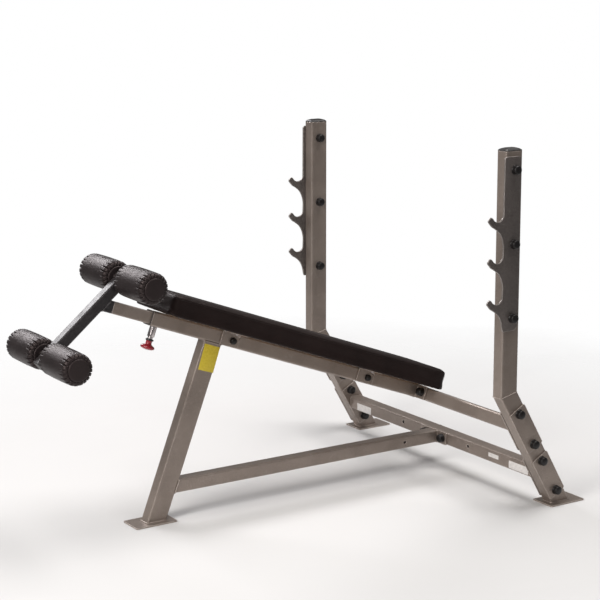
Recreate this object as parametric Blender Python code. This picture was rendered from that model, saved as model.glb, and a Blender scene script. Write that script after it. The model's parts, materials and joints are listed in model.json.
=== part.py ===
"""Decline weight bench with a leg hold-down and a barbell rack.

Axes: X runs along the bench (the rack is at +X, the foot end at -X),
Y runs across it (left is -Y, right is +Y), Z is up and the floor is z = 0.
All lengths are metres.  Most dimensions are written from the front face of
the uprights, and FRAME_X then moves the whole bench so that the origin is
the middle of its footprint.
"""
import math
import bpy
import bmesh
from mathutils import Matrix, Vector

# ------------------------------------------------------------------ sizes
FRAME_X = 0.5669          # front face of the uprights, from the origin
GAP = 0.0003              # clearance kept between touching pieces

# uprights: 75 x 50 tube, vertical above the kink, slanting rearward below
UP_DEPTH = 0.075
UP_WIDTH = 0.050
UP_Y = 0.617              # tube centre, left and right
UP_TOP = 1.332
KINK_Z = 0.4386           # front edge of the mitre
LEG_TILT = math.radians(30.2)
WALL = 0.003
CORNER = 0.006

FOOT_T = 0.005
REAR_FOOT_X = (0.2285, 0.3893)
REAR_FOOT_HALF_Y = 0.0525
FRONT_FOOT_X = (-1.1704, -1.0047)
FRONT_FOOT_HALF_Y = 0.0515

# rail: declines toward the rack
DECLINE = math.radians(20.2)
RAIL_Z0 = 0.3285          # underside of the rail at the uprights' front face
RAIL_W = 0.050
RAIL_H = 0.053
RAIL_FRONT = -1.158       # distance along the rail
FLANGE_T = 0.006
FLANGE_HALF_Y = 0.080
FLANGE_BOLT_Y = 0.055
UPPER_CROSS_S = (0.0890, 0.1390)
UPPER_CROSS_H = 0.0495

# lower frame
BASE_Z = (0.0977, 0.1477)
BASE_W = 0.050
LOWER_CROSS_X = (0.1977, 0.2537)
CROSS_HOLE_Y = 0.211
CROSS_HOLE_R = 0.0066
CROSS_HOLE_RISE = 0.0025     # above the tube's middle
FRONT_LEG_TILT = math.radians(21.0)
FRONT_LEG_X = -1.0767     # axis of the leg at the floor
FRONT_LEG_D = 0.075
FRONT_LEG_W = 0.050

# plates along the slanting legs, measured down the leg from the kink
UPPER_PLATE_T = 0.1690
LOWER_PLATE_T = 0.3925
PLATE_LEN = 0.182
PLATE_T = 0.005
PLATE_BOLT = 0.0715       # bolt distance from the plate's middle

# barbell hook plates
HOOK_T = 0.006
HOOK_Z = (1.0865, 0.9390, 0.7910)     # bottom of each cradle
HOOK_BOLT_Z = (1.2670, 1.0020, 0.7340)
HOOK_BOLT_X = 0.0375

# bolts: shank, and the domed cover on each end
SHANK_R = 0.005
HOLE_R = 0.0056
COVER_R = 0.0175
COVER_H = 0.022
SMALL_COVER_R = 0.013
SMALL_COVER_H = 0.013

# pad, measured in the rail's own directions
PAD_S = (-1.160, 0.124)
PAD_HALF_Y = 0.140
PAD_N = (0.0578, 0.1350)
BOARD_T = 0.015
BRACKET_S = (-0.8235, -0.1830)
BRACKET_LEN = 0.078
BRACKET_T = 0.0042
BRACKET_HALF_Y = 0.075

# leg hold-down
TUBE_W = 0.040
TUBE_H = 0.043
TUBE_WALL = 0.0025
TUBE_N = 0.0265           # axis of the telescoping tube above the rail's underside
TUBE_S = (-1.318, -0.832)
SLEEVE_DEPTH = 0.080
ARM_SIDE = 0.040
ARM_TOP = (-1.2079, 0.8805)           # a point of the arm's axis (x, z)
ARM_DIR = (-0.7682, -0.6402)          # down the arm, toward the foot end
ARM_SPAN = (-0.078, 0.384)
AXLE_T = (-0.036, 0.340)
AXLE_R = 0.0125
AXLE_HALF = 0.222
ROLLER_R = 0.0555
ROLLER_Y = (0.0300, 0.2430)
ROLLER_BORE = 0.0131

# pull pin
PIN_S = -1.1305
PIN_NOSE_R = 0.0050
PIN_IN = 0.006            # from riding on the tube to standing in one of its holes
PIN_OUT = 0.010           # from riding on the tube to fully pulled
HOLE_PITCH = 0.050
HOLE_COUNT = 4
HOUSING_R = 0.0132
HOUSING_BORE = 0.0072

# ------------------------------------------------------------------ scene
for old in list(bpy.data.objects):
    bpy.data.objects.remove(old, do_unlink=True)
COLL = bpy.context.scene.collection

SIN_D, COS_D = math.sin(DECLINE), math.cos(DECLINE)


def material(name, rgb, rough, metal):
    m = bpy.data.materials.new(name)
    m.use_nodes = True
    b = m.node_tree.nodes["Principled BSDF"]
    b.inputs["Base Color"].default_value = (*rgb, 1.0)
    b.inputs["Roughness"].default_value = rough
    b.inputs["Metallic"].default_value = metal
    m.diffuse_color = (*rgb, 1.0)
    return m


PAINT = material("frame_paint", (0.165, 0.150, 0.135), 0.42, 0.55)
HOOKP = material("hook_paint", (0.150, 0.138, 0.126), 0.45, 0.50)
BLACKP = material("black_paint", (0.030, 0.028, 0.030), 0.38, 0.30)
VINYL = material("pad_vinyl", (0.018, 0.015, 0.015), 0.45, 0.0)
ROLLV = material("roller_vinyl", (0.022, 0.021, 0.022), 0.40, 0.0)
PLYWOOD = material("plywood", (0.46, 0.31, 0.17), 0.70, 0.0)
BLACK = material("black_plastic", (0.016, 0.015, 0.016), 0.40, 0.0)
STEEL = material("plated_steel", (0.62, 0.60, 0.60), 0.22, 1.0)
RED = material("red_plastic", (0.55, 0.02, 0.03), 0.30, 0.0)


def empty(name, loc, parent=None):
    e = bpy.data.objects.new(name, None)
    COLL.objects.link(e)
    e.parent = parent
    e.location = loc
    return e


ROOT = empty("bench_frame", (FRAME_X, 0, 0))


def rail_point(s, y, n):
    """s runs down the rail toward the rack, n is square to it, upward."""
    return Vector((s * COS_D + n * SIN_D, y, RAIL_Z0 - s * SIN_D + n * COS_D))


RAIL_DIR = Vector((COS_D, 0, -SIN_D))
RAIL_UP = Vector((SIN_D, 0, COS_D))
YDIR = Vector((0, 1, 0))
RAIL_ROT = Matrix((RAIL_DIR, YDIR, RAIL_UP)).transposed()   # local x, y, z

SLIDE = empty("hold_down_slide", rail_point(TUBE_S[0], 0, TUBE_N), ROOT)
PIN = empty("pin_axis", rail_point(PIN_S, 0, 0), ROOT)


def finish(name, bm, mat, origin, parent=ROOT, smooth=None):
    """Make the object; bm is in bench coordinates and origin is its pivot."""
    bmesh.ops.recalc_face_normals(bm, faces=bm.faces)
    origin = Vector(origin)
    bmesh.ops.translate(bm, verts=bm.verts, vec=-origin)
    me = bpy.data.meshes.new(name)
    bm.to_mesh(me)
    bm.free()
    me.materials.append(mat)
    ob = bpy.data.objects.new(name, me)
    COLL.objects.link(ob)
    ob.parent = parent
    ob.location = origin - (parent.location if parent is not ROOT else Vector())
    if smooth is not None:
        me.shade_smooth()
        me.set_sharp_from_angle(angle=math.radians(smooth))
    return ob


def combine(ob, bm_other, op):
    """Boolean of ob with a mesh given in bench coordinates."""
    bmesh.ops.recalc_face_normals(bm_other, faces=bm_other.faces)
    me = bpy.data.meshes.new("tool")
    bm_other.to_mesh(me)
    bm_other.free()
    tool = bpy.data.objects.new("tool", me)
    COLL.objects.link(tool)
    tool.parent = ROOT
    mod = ob.modifiers.new("b", 'BOOLEAN')
    mod.operation = op
    mod.object = tool
    mod.solver = 'EXACT'
    dg = bpy.context.evaluated_depsgraph_get()
    new = bpy.data.meshes.new_from_object(ob.evaluated_get(dg), depsgraph=dg)
    ob.modifiers.clear()
    old = ob.data
    new.name = old.name
    ob.data = new
    bpy.data.meshes.remove(old)
    bpy.data.objects.remove(tool, do_unlink=True)
    return ob


def rounded_rect(w, h, r, n=2):
    """Loop of (u, v) points, anticlockwise."""
    pts = []
    for cx, cy, a0 in ((w / 2 - r, h / 2 - r, 0), (-w / 2 + r, h / 2 - r, 90),
                       (-w / 2 + r, -h / 2 + r, 180), (w / 2 - r, -h / 2 + r, 270)):
        for k in range(n + 1):
            a = math.radians(a0 + 90 * k / n)
            pts.append((cx + r * math.cos(a), cy + r * math.sin(a)))
    return pts


def bridge(bm, a, b):
    n = len(a)
    for i in range(n):
        j = (i + 1) % n
        bm.faces.new((a[i], a[j], b[j], b[i]))


def swept_tube(bm, start, u, v, legs, outer, inner=None):
    """Tube cut by planes.  legs is [(direction, plane point, plane normal)...];
    the first entry's plane is the first end, reached from `start`."""
    def rings(loop):
        pts = [start + u * a + v * b for a, b in loop]
        out = []
        for d, q, nrm in legs:
            pts = [p + d * ((Vector(q) - p).dot(nrm) / d.dot(nrm)) for p in pts]
            out.append([bm.verts.new(p) for p in pts])
        return out
    ro = rings(outer)
    for a, b in zip(ro, ro[1:]):
        bridge(bm, a, b)
    if inner is None:
        bm.faces.new(ro[0])
        bm.faces.new(ro[-1])
        return
    ri = rings(inner)
    for a, b in zip(ri, ri[1:]):
        bridge(bm, a, b)
    bridge(bm, ro[0], ri[0])
    bridge(bm, ro[-1], ri[-1])


def box(bm, lo, hi, frame=None):
    """Axis-aligned box, or a box in the rail's directions if frame is given."""
    vs = []
    for x in (lo[0], hi[0]):
        for y in (lo[1], hi[1]):
            for z in (lo[2], hi[2]):
                p = frame(x, y, z) if frame else Vector((x, y, z))
                vs.append(bm.verts.new(p))
    for f in ((0, 1, 3, 2), (4, 6, 7, 5), (0, 4, 5, 1), (2, 3, 7, 6), (0, 2, 6, 4), (1, 5, 7, 3)):
        bm.faces.new([vs[i] for i in f])


def rod(bm, a, b, r, seg=16):
    """Plain cylinder from a to b."""
    a, b = Vector(a), Vector(b)
    d = (b - a)
    m = Matrix.Translation((a + b) / 2) @ d.to_track_quat('Z', 'Y').to_matrix().to_4x4()
    bmesh.ops.create_cone(bm, cap_ends=True, segments=seg, radius1=r, radius2=r,
                          depth=d.length, matrix=m)


def turned(bm, profile, base, axis, seg=16):
    """Turned solid.  profile is [(radius, distance)...] along axis from base;
    a radius of 0 is a point on the axis."""
    axis = Vector(axis).normalized()
    q = axis.to_track_quat('Z', 'Y').to_matrix()
    ux, uy = q @ Vector((1, 0, 0)), q @ Vector((0, 1, 0))
    base = Vector(base)
    rings = []
    for r, t in profile:
        c = base + axis * t
        if r == 0:
            rings.append([bm.verts.new(c)])
        else:
            rings.append([bm.verts.new(c + (ux * math.cos(2 * math.pi * k / seg)
                                            + uy * math.sin(2 * math.pi * k / seg)) * r)
                          for k in range(seg)])
    pairs = list(zip(rings, rings[1:]))
    if profile[0][0] != 0 and profile[0] != profile[-1]:
        if profile[0][0] and profile[-1][0]:
            pairs.append((rings[-1], rings[0]))
    for a, b in pairs:
        if len(a) == 1 and len(b) == 1:
            continue
        for i in range(seg):
            j = (i + 1) % seg
            if len(a) == 1:
                bm.faces.new((a[0], b[j], b[i]))
            elif len(b) == 1:
                bm.faces.new((a[i], a[j], b[0]))
            else:
                bm.faces.new((a[i], a[j], b[j], b[i]))


def prism(bm, outline, to3, d0, d1):
    """Extrude a closed (a, b) outline between depths d0 and d1."""
    lo = [bm.verts.new(to3(a, b, d0)) for a, b in outline]
    hi = [bm.verts.new(to3(a, b, d1)) for a, b in outline]
    bridge(bm, lo, hi)
    bm.faces.new(lo)
    bm.faces.new(hi)


def covered_bolt(name, centre, axis, grip, cover_r=COVER_R, cover_h=COVER_H, mat=BLACK):
    """Through bolt: shank, nut and a domed cover over each end."""
    g = grip / 2 + GAP
    up = [(SHANK_R, g), (cover_r, g), (cover_r * 0.90, g + cover_h * 0.76), (cover_r * 0.62, g + cover_h * 0.94),
          (0, g + cover_h)]
    prof = [(r, -t) for r, t in reversed(up)] + up
    bm = bmesh.new()
    turned(bm, prof, centre, axis, 14)
    return finish(name, bm, mat, centre, smooth=45)


def holes(ob, items):
    """Cut round holes: (from, to, radius)."""
    for a, b, r in items:
        c = bmesh.new()
        rod(c, a, b, r)
        combine(ob, c, 'DIFFERENCE')


# --------------------------------------------------------- slanting rear legs
LEG_DIR = Vector((math.sin(LEG_TILT), 0, -math.cos(LEG_TILT)))
LEG_ACROSS = Vector((math.cos(LEG_TILT), 0, math.sin(LEG_TILT)))


def leg_point(along, across, y):
    return Vector((0, y, KINK_Z)) + LEG_DIR * along + LEG_ACROSS * across


def slope_cross_centre():
    s = sum(UPPER_CROSS_S) / 2
    return rail_point(s, 0, UPPER_CROSS_H / 2)


# --------------------------------------------------------------- uprights
def make_upright(side, sign):
    y = sign * UP_Y
    outer = rounded_rect(UP_DEPTH, UP_WIDTH, CORNER)
    inner = rounded_rect(UP_DEPTH - 2 * WALL, UP_WIDTH - 2 * WALL, CORNER - WALL)
    bm = bmesh.new()
    down = Vector((0, 0, -1))
    mitre = Vector((math.sin(LEG_TILT / 2), 0, -math.cos(LEG_TILT / 2)))
    swept_tube(bm, Vector((UP_DEPTH / 2, y, 1.5)), Vector((1, 0, 0)), YDIR,
               [(down, (0, 0, UP_TOP), Vector((0, 0, 1))),
                (down, (0, 0, KINK_Z), mitre),
                (LEG_DIR, (0, 0, FOOT_T - 0.0005), Vector((0, 0, 1)))],
               outer, inner)
    ob = finish("upright_" + side, bm, PAINT, (0, y, 0), smooth=40)
    foot = bmesh.new()
    box(foot, (REAR_FOOT_X[0], y - REAR_FOOT_HALF_Y, 0), (REAR_FOOT_X[1], y + REAR_FOOT_HALF_Y, FOOT_T))
    bmesh.ops.bevel(foot, geom=[e for e in foot.edges if abs(e.verts[0].co.z - e.verts[1].co.z) > 0.001],
                    offset=0.004, segments=2, affect='EDGES', profile=0.5)
    combine(ob, foot, 'UNION')
    cuts = [((HOOK_BOLT_X, y - 0.05, z), (HOOK_BOLT_X, y + 0.05, z), HOLE_R) for z in HOOK_BOLT_Z]
    for t in (UPPER_PLATE_T, LOWER_PLATE_T):
        for k in (-1, 1):
            a = t + k * PLATE_BOLT
            cuts.append((leg_point(a, UP_DEPTH / 2, y - 0.05), leg_point(a, UP_DEPTH / 2, y + 0.05), HOLE_R))
    holes(ob, cuts)
    return ob


def make_cap(side, sign):
    """Domed plastic cap with a plug that sits inside the tube."""
    y = sign * UP_Y
    bm = bmesh.new()
    loops = []
    for w, h, r, z in ((UP_DEPTH - 2 * WALL - 0.001, UP_WIDTH - 2 * WALL - 0.001, 0.0025, UP_TOP - 0.016),
                       (UP_DEPTH - 2 * WALL - 0.001, UP_WIDTH - 2 * WALL - 0.001, 0.0025, UP_TOP + GAP),
                       (UP_DEPTH, UP_WIDTH, CORNER, UP_TOP + GAP),
                       (UP_DEPTH, UP_WIDTH, CORNER, UP_TOP + 0.003),
                       (UP_DEPTH - 0.010, UP_WIDTH - 0.010, 0.006, UP_TOP + 0.0075),
                       (UP_DEPTH - 0.034, UP_WIDTH - 0.026, 0.006, UP_TOP + 0.0110)):
        loops.append([bm.verts.new((UP_DEPTH / 2 + a, y + b, z)) for a, b in rounded_rect(w, h, r)])
    for a, b in zip(loops, loops[1:]):
        bridge(bm, a, b)
    bm.faces.new(loops[0])
    bm.faces.new(loops[-1])
    return finish("upright_cap_" + side, bm, BLACK, (UP_DEPTH / 2, y, UP_TOP), smooth=40)


def hook_outline():
    """Front edge runs down from the top; each cradle opens toward the bench."""
    front, rear, top, bottom = -0.0085, 0.0660, 1.3145, 0.6880
    pts = []

    def arc(cx, cz, r, a0, a1, n):
        for k in range(n + 1):
            a = math.radians(a0 + (a1 - a0) * k / n)
            pts.append((cx + r * math.cos(a), cz + r * math.sin(a)))
    arc(rear - 0.012, top - 0.012, 0.012, 0, 90, 3)
    arc(front + 0.010, top - 0.010, 0.010, 90, 180, 3)
    for z in HOOK_Z:
        arc(-0.0345, z + 0.026, 0.026, -18, -152, 8)          # cradle for the bar
        arc(-0.0675, z + 0.0085, 0.009, 75, 215, 5)           # rounded lip
        pts.extend([(-0.0640, z - 0.0140), (-0.0480, z - 0.0240), (-0.0310, z - 0.0370),
                    (-0.0200, z - 0.0520), (-0.0130, z - 0.0690), (front, z - 0.0920)])
    pts.extend([(front + 0.004, bottom), (0.0470, bottom), (rear, bottom + 0.019)])
    return pts


def make_hook_plate(side, sign):
    y0 = sign * (UP_Y + UP_WIDTH / 2 + GAP)
    y1 = y0 + sign * HOOK_T
    bm = bmesh.new()
    prism(bm, hook_outline(), lambda a, b, d: Vector((a, d, b)), y0, y1)
    ob = finish("hook_plate_" + side, bm, HOOKP, (0, y0, HOOK_Z[1]))
    holes(ob, [((HOOK_BOLT_X, y0 - 0.02, z), (HOOK_BOLT_X, y0 + 0.02, z), HOLE_R) for z in HOOK_BOLT_Z])
    return ob


def leg_plate_outline(centre):
    return [(centre + a, UP_DEPTH / 2 + b) for a, b in
            rounded_rect(PLATE_LEN, UP_DEPTH + 0.001, 0.004, 1)]


def make_backing_plate(name, side, sign, t):
    y0 = sign * (UP_Y + UP_WIDTH / 2 + GAP)
    bm = bmesh.new()
    prism(bm, leg_plate_outline(t), lambda a, b, d: leg_point(a, b, d), y0, y0 + sign * PLATE_T)
    ob = finish("backing_plate_%s_%s" % (name, side), bm, PAINT, leg_point(t, UP_DEPTH / 2, y0))
    holes(ob, [(leg_point(t + k * PLATE_BOLT, UP_DEPTH / 2, y0 - 0.02),
                leg_point(t + k * PLATE_BOLT, UP_DEPTH / 2, y0 + 0.02), HOLE_R) for k in (-1, 1)])
    return ob


for side, sign in (("left", -1), ("right", 1)):
    make_upright(side, sign)
    make_cap(side, sign)
    make_hook_plate(side, sign)
    grip = UP_WIDTH + HOOK_T + GAP
    for where, z in zip(("top", "middle", "bottom"), HOOK_BOLT_Z):
        covered_bolt("hook_bolt_%s_%s" % (where, side),
                     (HOOK_BOLT_X, sign * (UP_Y + (HOOK_T + GAP) / 2), z), (0, 1, 0), grip)
    for name, t in (("upper", UPPER_PLATE_T), ("lower", LOWER_PLATE_T)):
        make_backing_plate(name, side, sign, t)
        for which, k in (("a", -1), ("b", 1)):
            covered_bolt("leg_bolt_%s_%s_%s" % (name, which, side),
                         leg_point(t + k * PLATE_BOLT, UP_DEPTH / 2, sign * UP_Y),
                         (0, 1, 0), UP_WIDTH + 2 * (PLATE_T + GAP))

# --------------------------------------------------------- cross members
CROSS_END = UP_Y - UP_WIDTH / 2 - GAP


def make_cross(name, section, t, bolt_cuts, vents):
    """Tube between the legs with a bolted end plate welded on each end."""
    c, u, v, w, h = section
    bm = bmesh.new()
    far = CROSS_END - PLATE_T + 0.001
    swept_tube(bm, c - YDIR, u, v,
               [(YDIR, (0, -far, 0), YDIR), (YDIR, (0, far, 0), YDIR)],
               rounded_rect(w, h, CORNER), rounded_rect(w - 2 * WALL, h - 2 * WALL, CORNER - WALL))
    ob = finish(name, bm, PAINT, c, smooth=40)
    for sign in (-1, 1):
        p = bmesh.new()
        prism(p, leg_plate_outline(t), lambda a, b, d: leg_point(a, b, d),
              sign * (CROSS_END - PLATE_T), sign * CROSS_END)
        combine(ob, p, 'UNION')
    cuts = []
    for sign in (-1, 1):
        for k in (-1, 1):
            a = t + k * PLATE_BOLT
            cuts.append((leg_point(a, UP_DEPTH / 2, sign * (CROSS_END - 0.03)),
                         leg_point(a, UP_DEPTH / 2, sign * (CROSS_END + 0.03)), HOLE_R))
    holes(ob, cuts + bolt_cuts + vents)
    return ob


uc = slope_cross_centre()
ucw = UPPER_CROSS_S[1] - UPPER_CROSS_S[0]
make_cross("upper_cross_member", (uc, RAIL_DIR, RAIL_UP, ucw, UPPER_CROSS_H), UPPER_PLATE_T,
           [(rail_point(UPPER_CROSS_S[0] - 0.02, y, RAIL_H / 2),
             rail_point(UPPER_CROSS_S[1] + 0.02, y, RAIL_H / 2), HOLE_R)
            for y in (-FLANGE_BOLT_Y, FLANGE_BOLT_Y)], [])

lc = Vector((sum(LOWER_CROSS_X) / 2, 0, sum(BASE_Z) / 2))
lcw = LOWER_CROSS_X[1] - LOWER_CROSS_X[0]
XDIR = Vector((1, 0, 0))
make_cross("lower_cross_member", (lc, XDIR, Vector((0, 0, 1)), lcw, BASE_Z[1] - BASE_Z[0]), LOWER_PLATE_T,
           [(lc - XDIR * 0.05 + YDIR * y, lc + XDIR * 0.05 + YDIR * y, HOLE_R)
            for y in (-FLANGE_BOLT_Y, FLANGE_BOLT_Y)],
           [(lc - XDIR * 0.05 + Vector((0, y, CROSS_HOLE_RISE)), lc + Vector((0, y, CROSS_HOLE_RISE)), CROSS_HOLE_R)
            for y in (-CROSS_HOLE_Y, CROSS_HOLE_Y)])

# --------------------------------------------------------- front leg, base
FL_UP = Vector((math.sin(FRONT_LEG_TILT), 0, math.cos(FRONT_LEG_TILT)))
FL_ACROSS = Vector((math.cos(FRONT_LEG_TILT), 0, -math.sin(FRONT_LEG_TILT)))
bm = bmesh.new()
swept_tube(bm, Vector((FRONT_LEG_X, 0, 0)), FL_ACROSS, YDIR,
           [(FL_UP, (0, 0, FOOT_T - 0.0005), Vector((0, 0, 1))),
            (FL_UP, rail_point(-1, 0, -GAP), RAIL_UP)],
           rounded_rect(FRONT_LEG_D, FRONT_LEG_W, CORNER),
           rounded_rect(FRONT_LEG_D - 2 * WALL, FRONT_LEG_W - 2 * WALL, CORNER - WALL))
front_leg = finish("front_leg", bm, PAINT, (FRONT_LEG_X, 0, 0), smooth=40)
foot = bmesh.new()
box(foot, (FRONT_FOOT_X[0], -FRONT_FOOT_HALF_Y, 0), (FRONT_FOOT_X[1], FRONT_FOOT_HALF_Y, FOOT_T))
bmesh.ops.bevel(foot, geom=[e for e in foot.edges if abs(e.verts[0].co.z - e.verts[1].co.z) > 0.001],
                offset=0.004, segments=2, affect='EDGES', profile=0.5)
combine(front_leg, foot, 'UNION')

# base tube: from the front leg's rear face to a flange on the lower cross member
base_rear = LOWER_CROSS_X[0] - GAP
leg_rear = Vector((FRONT_LEG_X, 0, 0)) + FL_ACROSS * (FRONT_LEG_D / 2 + GAP)
bz = sum(BASE_Z) / 2
bh = BASE_Z[1] - BASE_Z[0]
bm = bmesh.new()
swept_tube(bm, Vector((-2, 0, bz)), YDIR, Vector((0, 0, 1)),
           [(XDIR, leg_rear, FL_ACROSS), (XDIR, (base_rear - FLANGE_T + 0.001, 0, 0), XDIR)],
           rounded_rect(BASE_W, bh, CORNER), rounded_rect(BASE_W - 2 * WALL, bh - 2 * WALL, CORNER - WALL))
base = finish("base_tube", bm, PAINT, (base_rear, 0, bz), smooth=40)
p = bmesh.new()
prism(p, rounded_rect(2 * FLANGE_HALF_Y, bh, 0.003, 1),
      lambda a, b, d: Vector((d, a, bz + b)), base_rear - FLANGE_T, base_rear)
combine(base, p, 'UNION')
holes(base, [((base_rear - 0.02, y, bz), (base_rear + 0.01, y, bz), HOLE_R)
             for y in (-FLANGE_BOLT_Y, FLANGE_BOLT_Y)]
      + [((0.0316, -0.05, bz), (0.0316, 0, bz), 0.0060)])

for side, sign in (("left", -1), ("right", 1)):
    x0, x1 = base_rear - FLANGE_T, LOWER_CROSS_X[1]
    covered_bolt("base_bolt_" + side, ((x0 + x1) / 2, sign * FLANGE_BOLT_Y, bz), (1, 0, 0), x1 - x0)

# --------------------------------------------------------- rail
rail_rear = UPPER_CROSS_S[0] - GAP
bm = bmesh.new()
swept_tube(bm, rail_point(-1.5, 0, RAIL_H / 2), YDIR, RAIL_UP,
           [(RAIL_DIR, rail_point(RAIL_FRONT, 0, 0), RAIL_DIR),
            (RAIL_DIR, rail_point(rail_rear - FLANGE_T + 0.001, 0, 0), RAIL_DIR)],
           rounded_rect(RAIL_W, RAIL_H, CORNER),
           rounded_rect(RAIL_W - 2 * WALL, RAIL_H - 2 * WALL, CORNER - WALL))
rail = finish("main_rail", bm, PAINT, rail_point(RAIL_FRONT, 0, RAIL_H / 2), smooth=40)
p = bmesh.new()
prism(p, rounded_rect(2 * FLANGE_HALF_Y, RAIL_H, 0.003, 1),
      lambda a, b, d: rail_point(d, a, RAIL_H / 2 + b), rail_rear - FLANGE_T, rail_rear)
combine(rail, p, 'UNION')
holes(rail, [(rail_point(rail_rear - 0.02, y, RAIL_H / 2), rail_point(rail_rear + 0.01, y, RAIL_H / 2), HOLE_R)
             for y in (-FLANGE_BOLT_Y, FLANGE_BOLT_Y)]
      + [(rail_point(s, -0.05, 0.025), rail_point(s, 0.05, 0.025), HOLE_R)
         for s in (BRACKET_S[0] + 0.012, BRACKET_S[1] + 0.010)]
      + [(rail_point(PIN_S, 0, -0.02), rail_point(PIN_S, 0, 0.02), PIN_NOSE_R + 0.0005)])

for side, sign in (("left", -1), ("right", 1)):
    s0, s1 = rail_rear - FLANGE_T, UPPER_CROSS_S[1]
    covered_bolt("rail_bolt_" + side, rail_point((s0 + s1) / 2, sign * FLANGE_BOLT_Y, RAIL_H / 2),
                 RAIL_DIR, s1 - s0)

# plastic guide sleeve pushed into the rail's open mouth
sl_out_w, sl_out_h = RAIL_W - 2 * WALL - 2 * GAP, RAIL_H - 2 * WALL - 2 * GAP
in_w, in_h = TUBE_W + 2 * GAP, TUBE_H + 2 * GAP
bm = bmesh.new()
steps = [(RAIL_FRONT + SLEEVE_DEPTH, sl_out_w, sl_out_h, 0.0025),
         (RAIL_FRONT - GAP, sl_out_w, sl_out_h, 0.0025),
         (RAIL_FRONT - GAP, RAIL_W, RAIL_H, CORNER),
         (RAIL_FRONT - 0.0045, RAIL_W, RAIL_H, CORNER),
         (RAIL_FRONT - 0.0045, in_w, in_h, 0.0042),
         (RAIL_FRONT + SLEEVE_DEPTH, in_w, in_h, 0.0042)]
loops = [[bm.verts.new(rail_point(s, a, RAIL_H / 2 + b)) for a, b in rounded_rect(w, h, r)]
         for s, w, h, r in steps]
for a, b in zip(loops, loops[1:] + loops[:1]):
    bridge(bm, a, b)
sleeve = finish("rail_sleeve", bm, BLACK, rail_point(RAIL_FRONT, 0, RAIL_H / 2), smooth=40)
holes(sleeve, [(rail_point(PIN_S, 0, -0.01), rail_point(PIN_S, 0, 0.02), PIN_NOSE_R + 0.0008)])

# --------------------------------------------------------- pad and brackets
for name, s_mid, ds in (("front", BRACKET_S[0], 0.012), ("rear", BRACKET_S[1], 0.010)):
    lo, hi = s_mid - BRACKET_LEN / 2, s_mid + BRACKET_LEN / 2
    half = RAIL_W / 2 + GAP
    top = RAIL_H + GAP
    section = [(-BRACKET_HALF_Y, top), (-half - BRACKET_T, top), (-half - BRACKET_T, 0.002), (-half, 0.002),
               (-half, top), (half, top), (half, 0.002), (half + BRACKET_T, 0.002), (half + BRACKET_T, top),
               (BRACKET_HALF_Y, top), (BRACKET_HALF_Y, top + BRACKET_T), (-BRACKET_HALF_Y, top + BRACKET_T)]
    bm = bmesh.new()
    prism(bm, section, lambda a, b, d: rail_point(d, a, b), lo, hi)
    ob = finish("pad_bracket_" + name, bm, PAINT, rail_point(s_mid, 0, top))
    holes(ob, [(rail_point(s_mid + ds, -0.05, 0.025), rail_point(s_mid + ds, 0.05, 0.025), HOLE_R)]
          + [(rail_point(s_mid + ds + 0.022, -0.05, 0.041), rail_point(s_mid + ds + 0.022, -0.026, 0.041), 0.0052)]
          + [(rail_point(s_mid, y, 0.03), rail_point(s_mid, y, 0.08), 0.0036) for y in (-0.060, 0.060)])
    covered_bolt("bracket_bolt_" + name, rail_point(s_mid + ds, 0, 0.025), (0, 1, 0),
                 2 * (half + BRACKET_T), SMALL_COVER_R, SMALL_COVER_H)
    for side, y in (("left", -0.060), ("right", 0.060)):
        bm = bmesh.new()
        n0 = top - GAP
        turned(bm, [(0, n0 - 0.0042), (0.0055, n0 - 0.0034), (0.0070, n0), (0.0030, n0), (0.0030, n0 + 0.015),
                    (0, n0 + 0.017)], rail_point(s_mid, y, 0), RAIL_UP, 12)
        finish("pad_screw_%s_%s" % (name, side), bm, STEEL, rail_point(s_mid, y, n0), smooth=35)

pad_len = PAD_S[1] - PAD_S[0]
pad_mid = sum(PAD_S) / 2


def pad_ring(bm, inset, n, corner):
    loop = rounded_rect(pad_len - 2 * inset, 2 * (PAD_HALF_Y - inset), max(corner - inset, 0.008), 5)
    return [bm.verts.new(rail_point(pad_mid + a, b, n)) for a, b in loop]


bm = bmesh.new()
b0, b1 = PAD_N[0] + GAP, PAD_N[0] + GAP + BOARD_T
lo, hi = pad_ring(bm, 0.0063, b0, 0.030), pad_ring(bm, 0.0063, b1, 0.030)
bridge(bm, lo, hi)
bm.faces.new(lo)
bm.faces.new(hi)
board = finish("pad_board", bm, PLYWOOD, rail_point(pad_mid, 0, b0), smooth=40)
holes(board, [(rail_point(s, y, b0 - 0.002), rail_point(s, y, b0 + 0.0135), 0.0034)
              for s in BRACKET_S for y in (-0.060, 0.060)])

bm = bmesh.new()
rings = [pad_ring(bm, i, n, 0.030) for i, n in
         ((0.0060, b1 + GAP), (0.0060, b0), (0.0010, PAD_N[0] + 0.0005), (0.0, PAD_N[0] + 0.006),
          (0.0, 0.1150), (0.0030, 0.1235), (0.0110, 0.1293), (0.0300, 0.1330))]
for a, b in zip(rings, rings[1:]):
    bridge(bm, a, b)
bm.faces.new(rings[0])
last = rings[-1]
# crown: the middle of the top stands a little higher
cap = bm.faces.new(last)
res = bmesh.ops.inset_region(bm, faces=[cap], thickness=0.045)
for v in cap.verts:
    v.co += RAIL_UP * (PAD_N[1] - 0.1330)
pad = finish("pad_cushion", bm, VINYL, rail_point(pad_mid, 0, PAD_N[0]), smooth=50)

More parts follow.
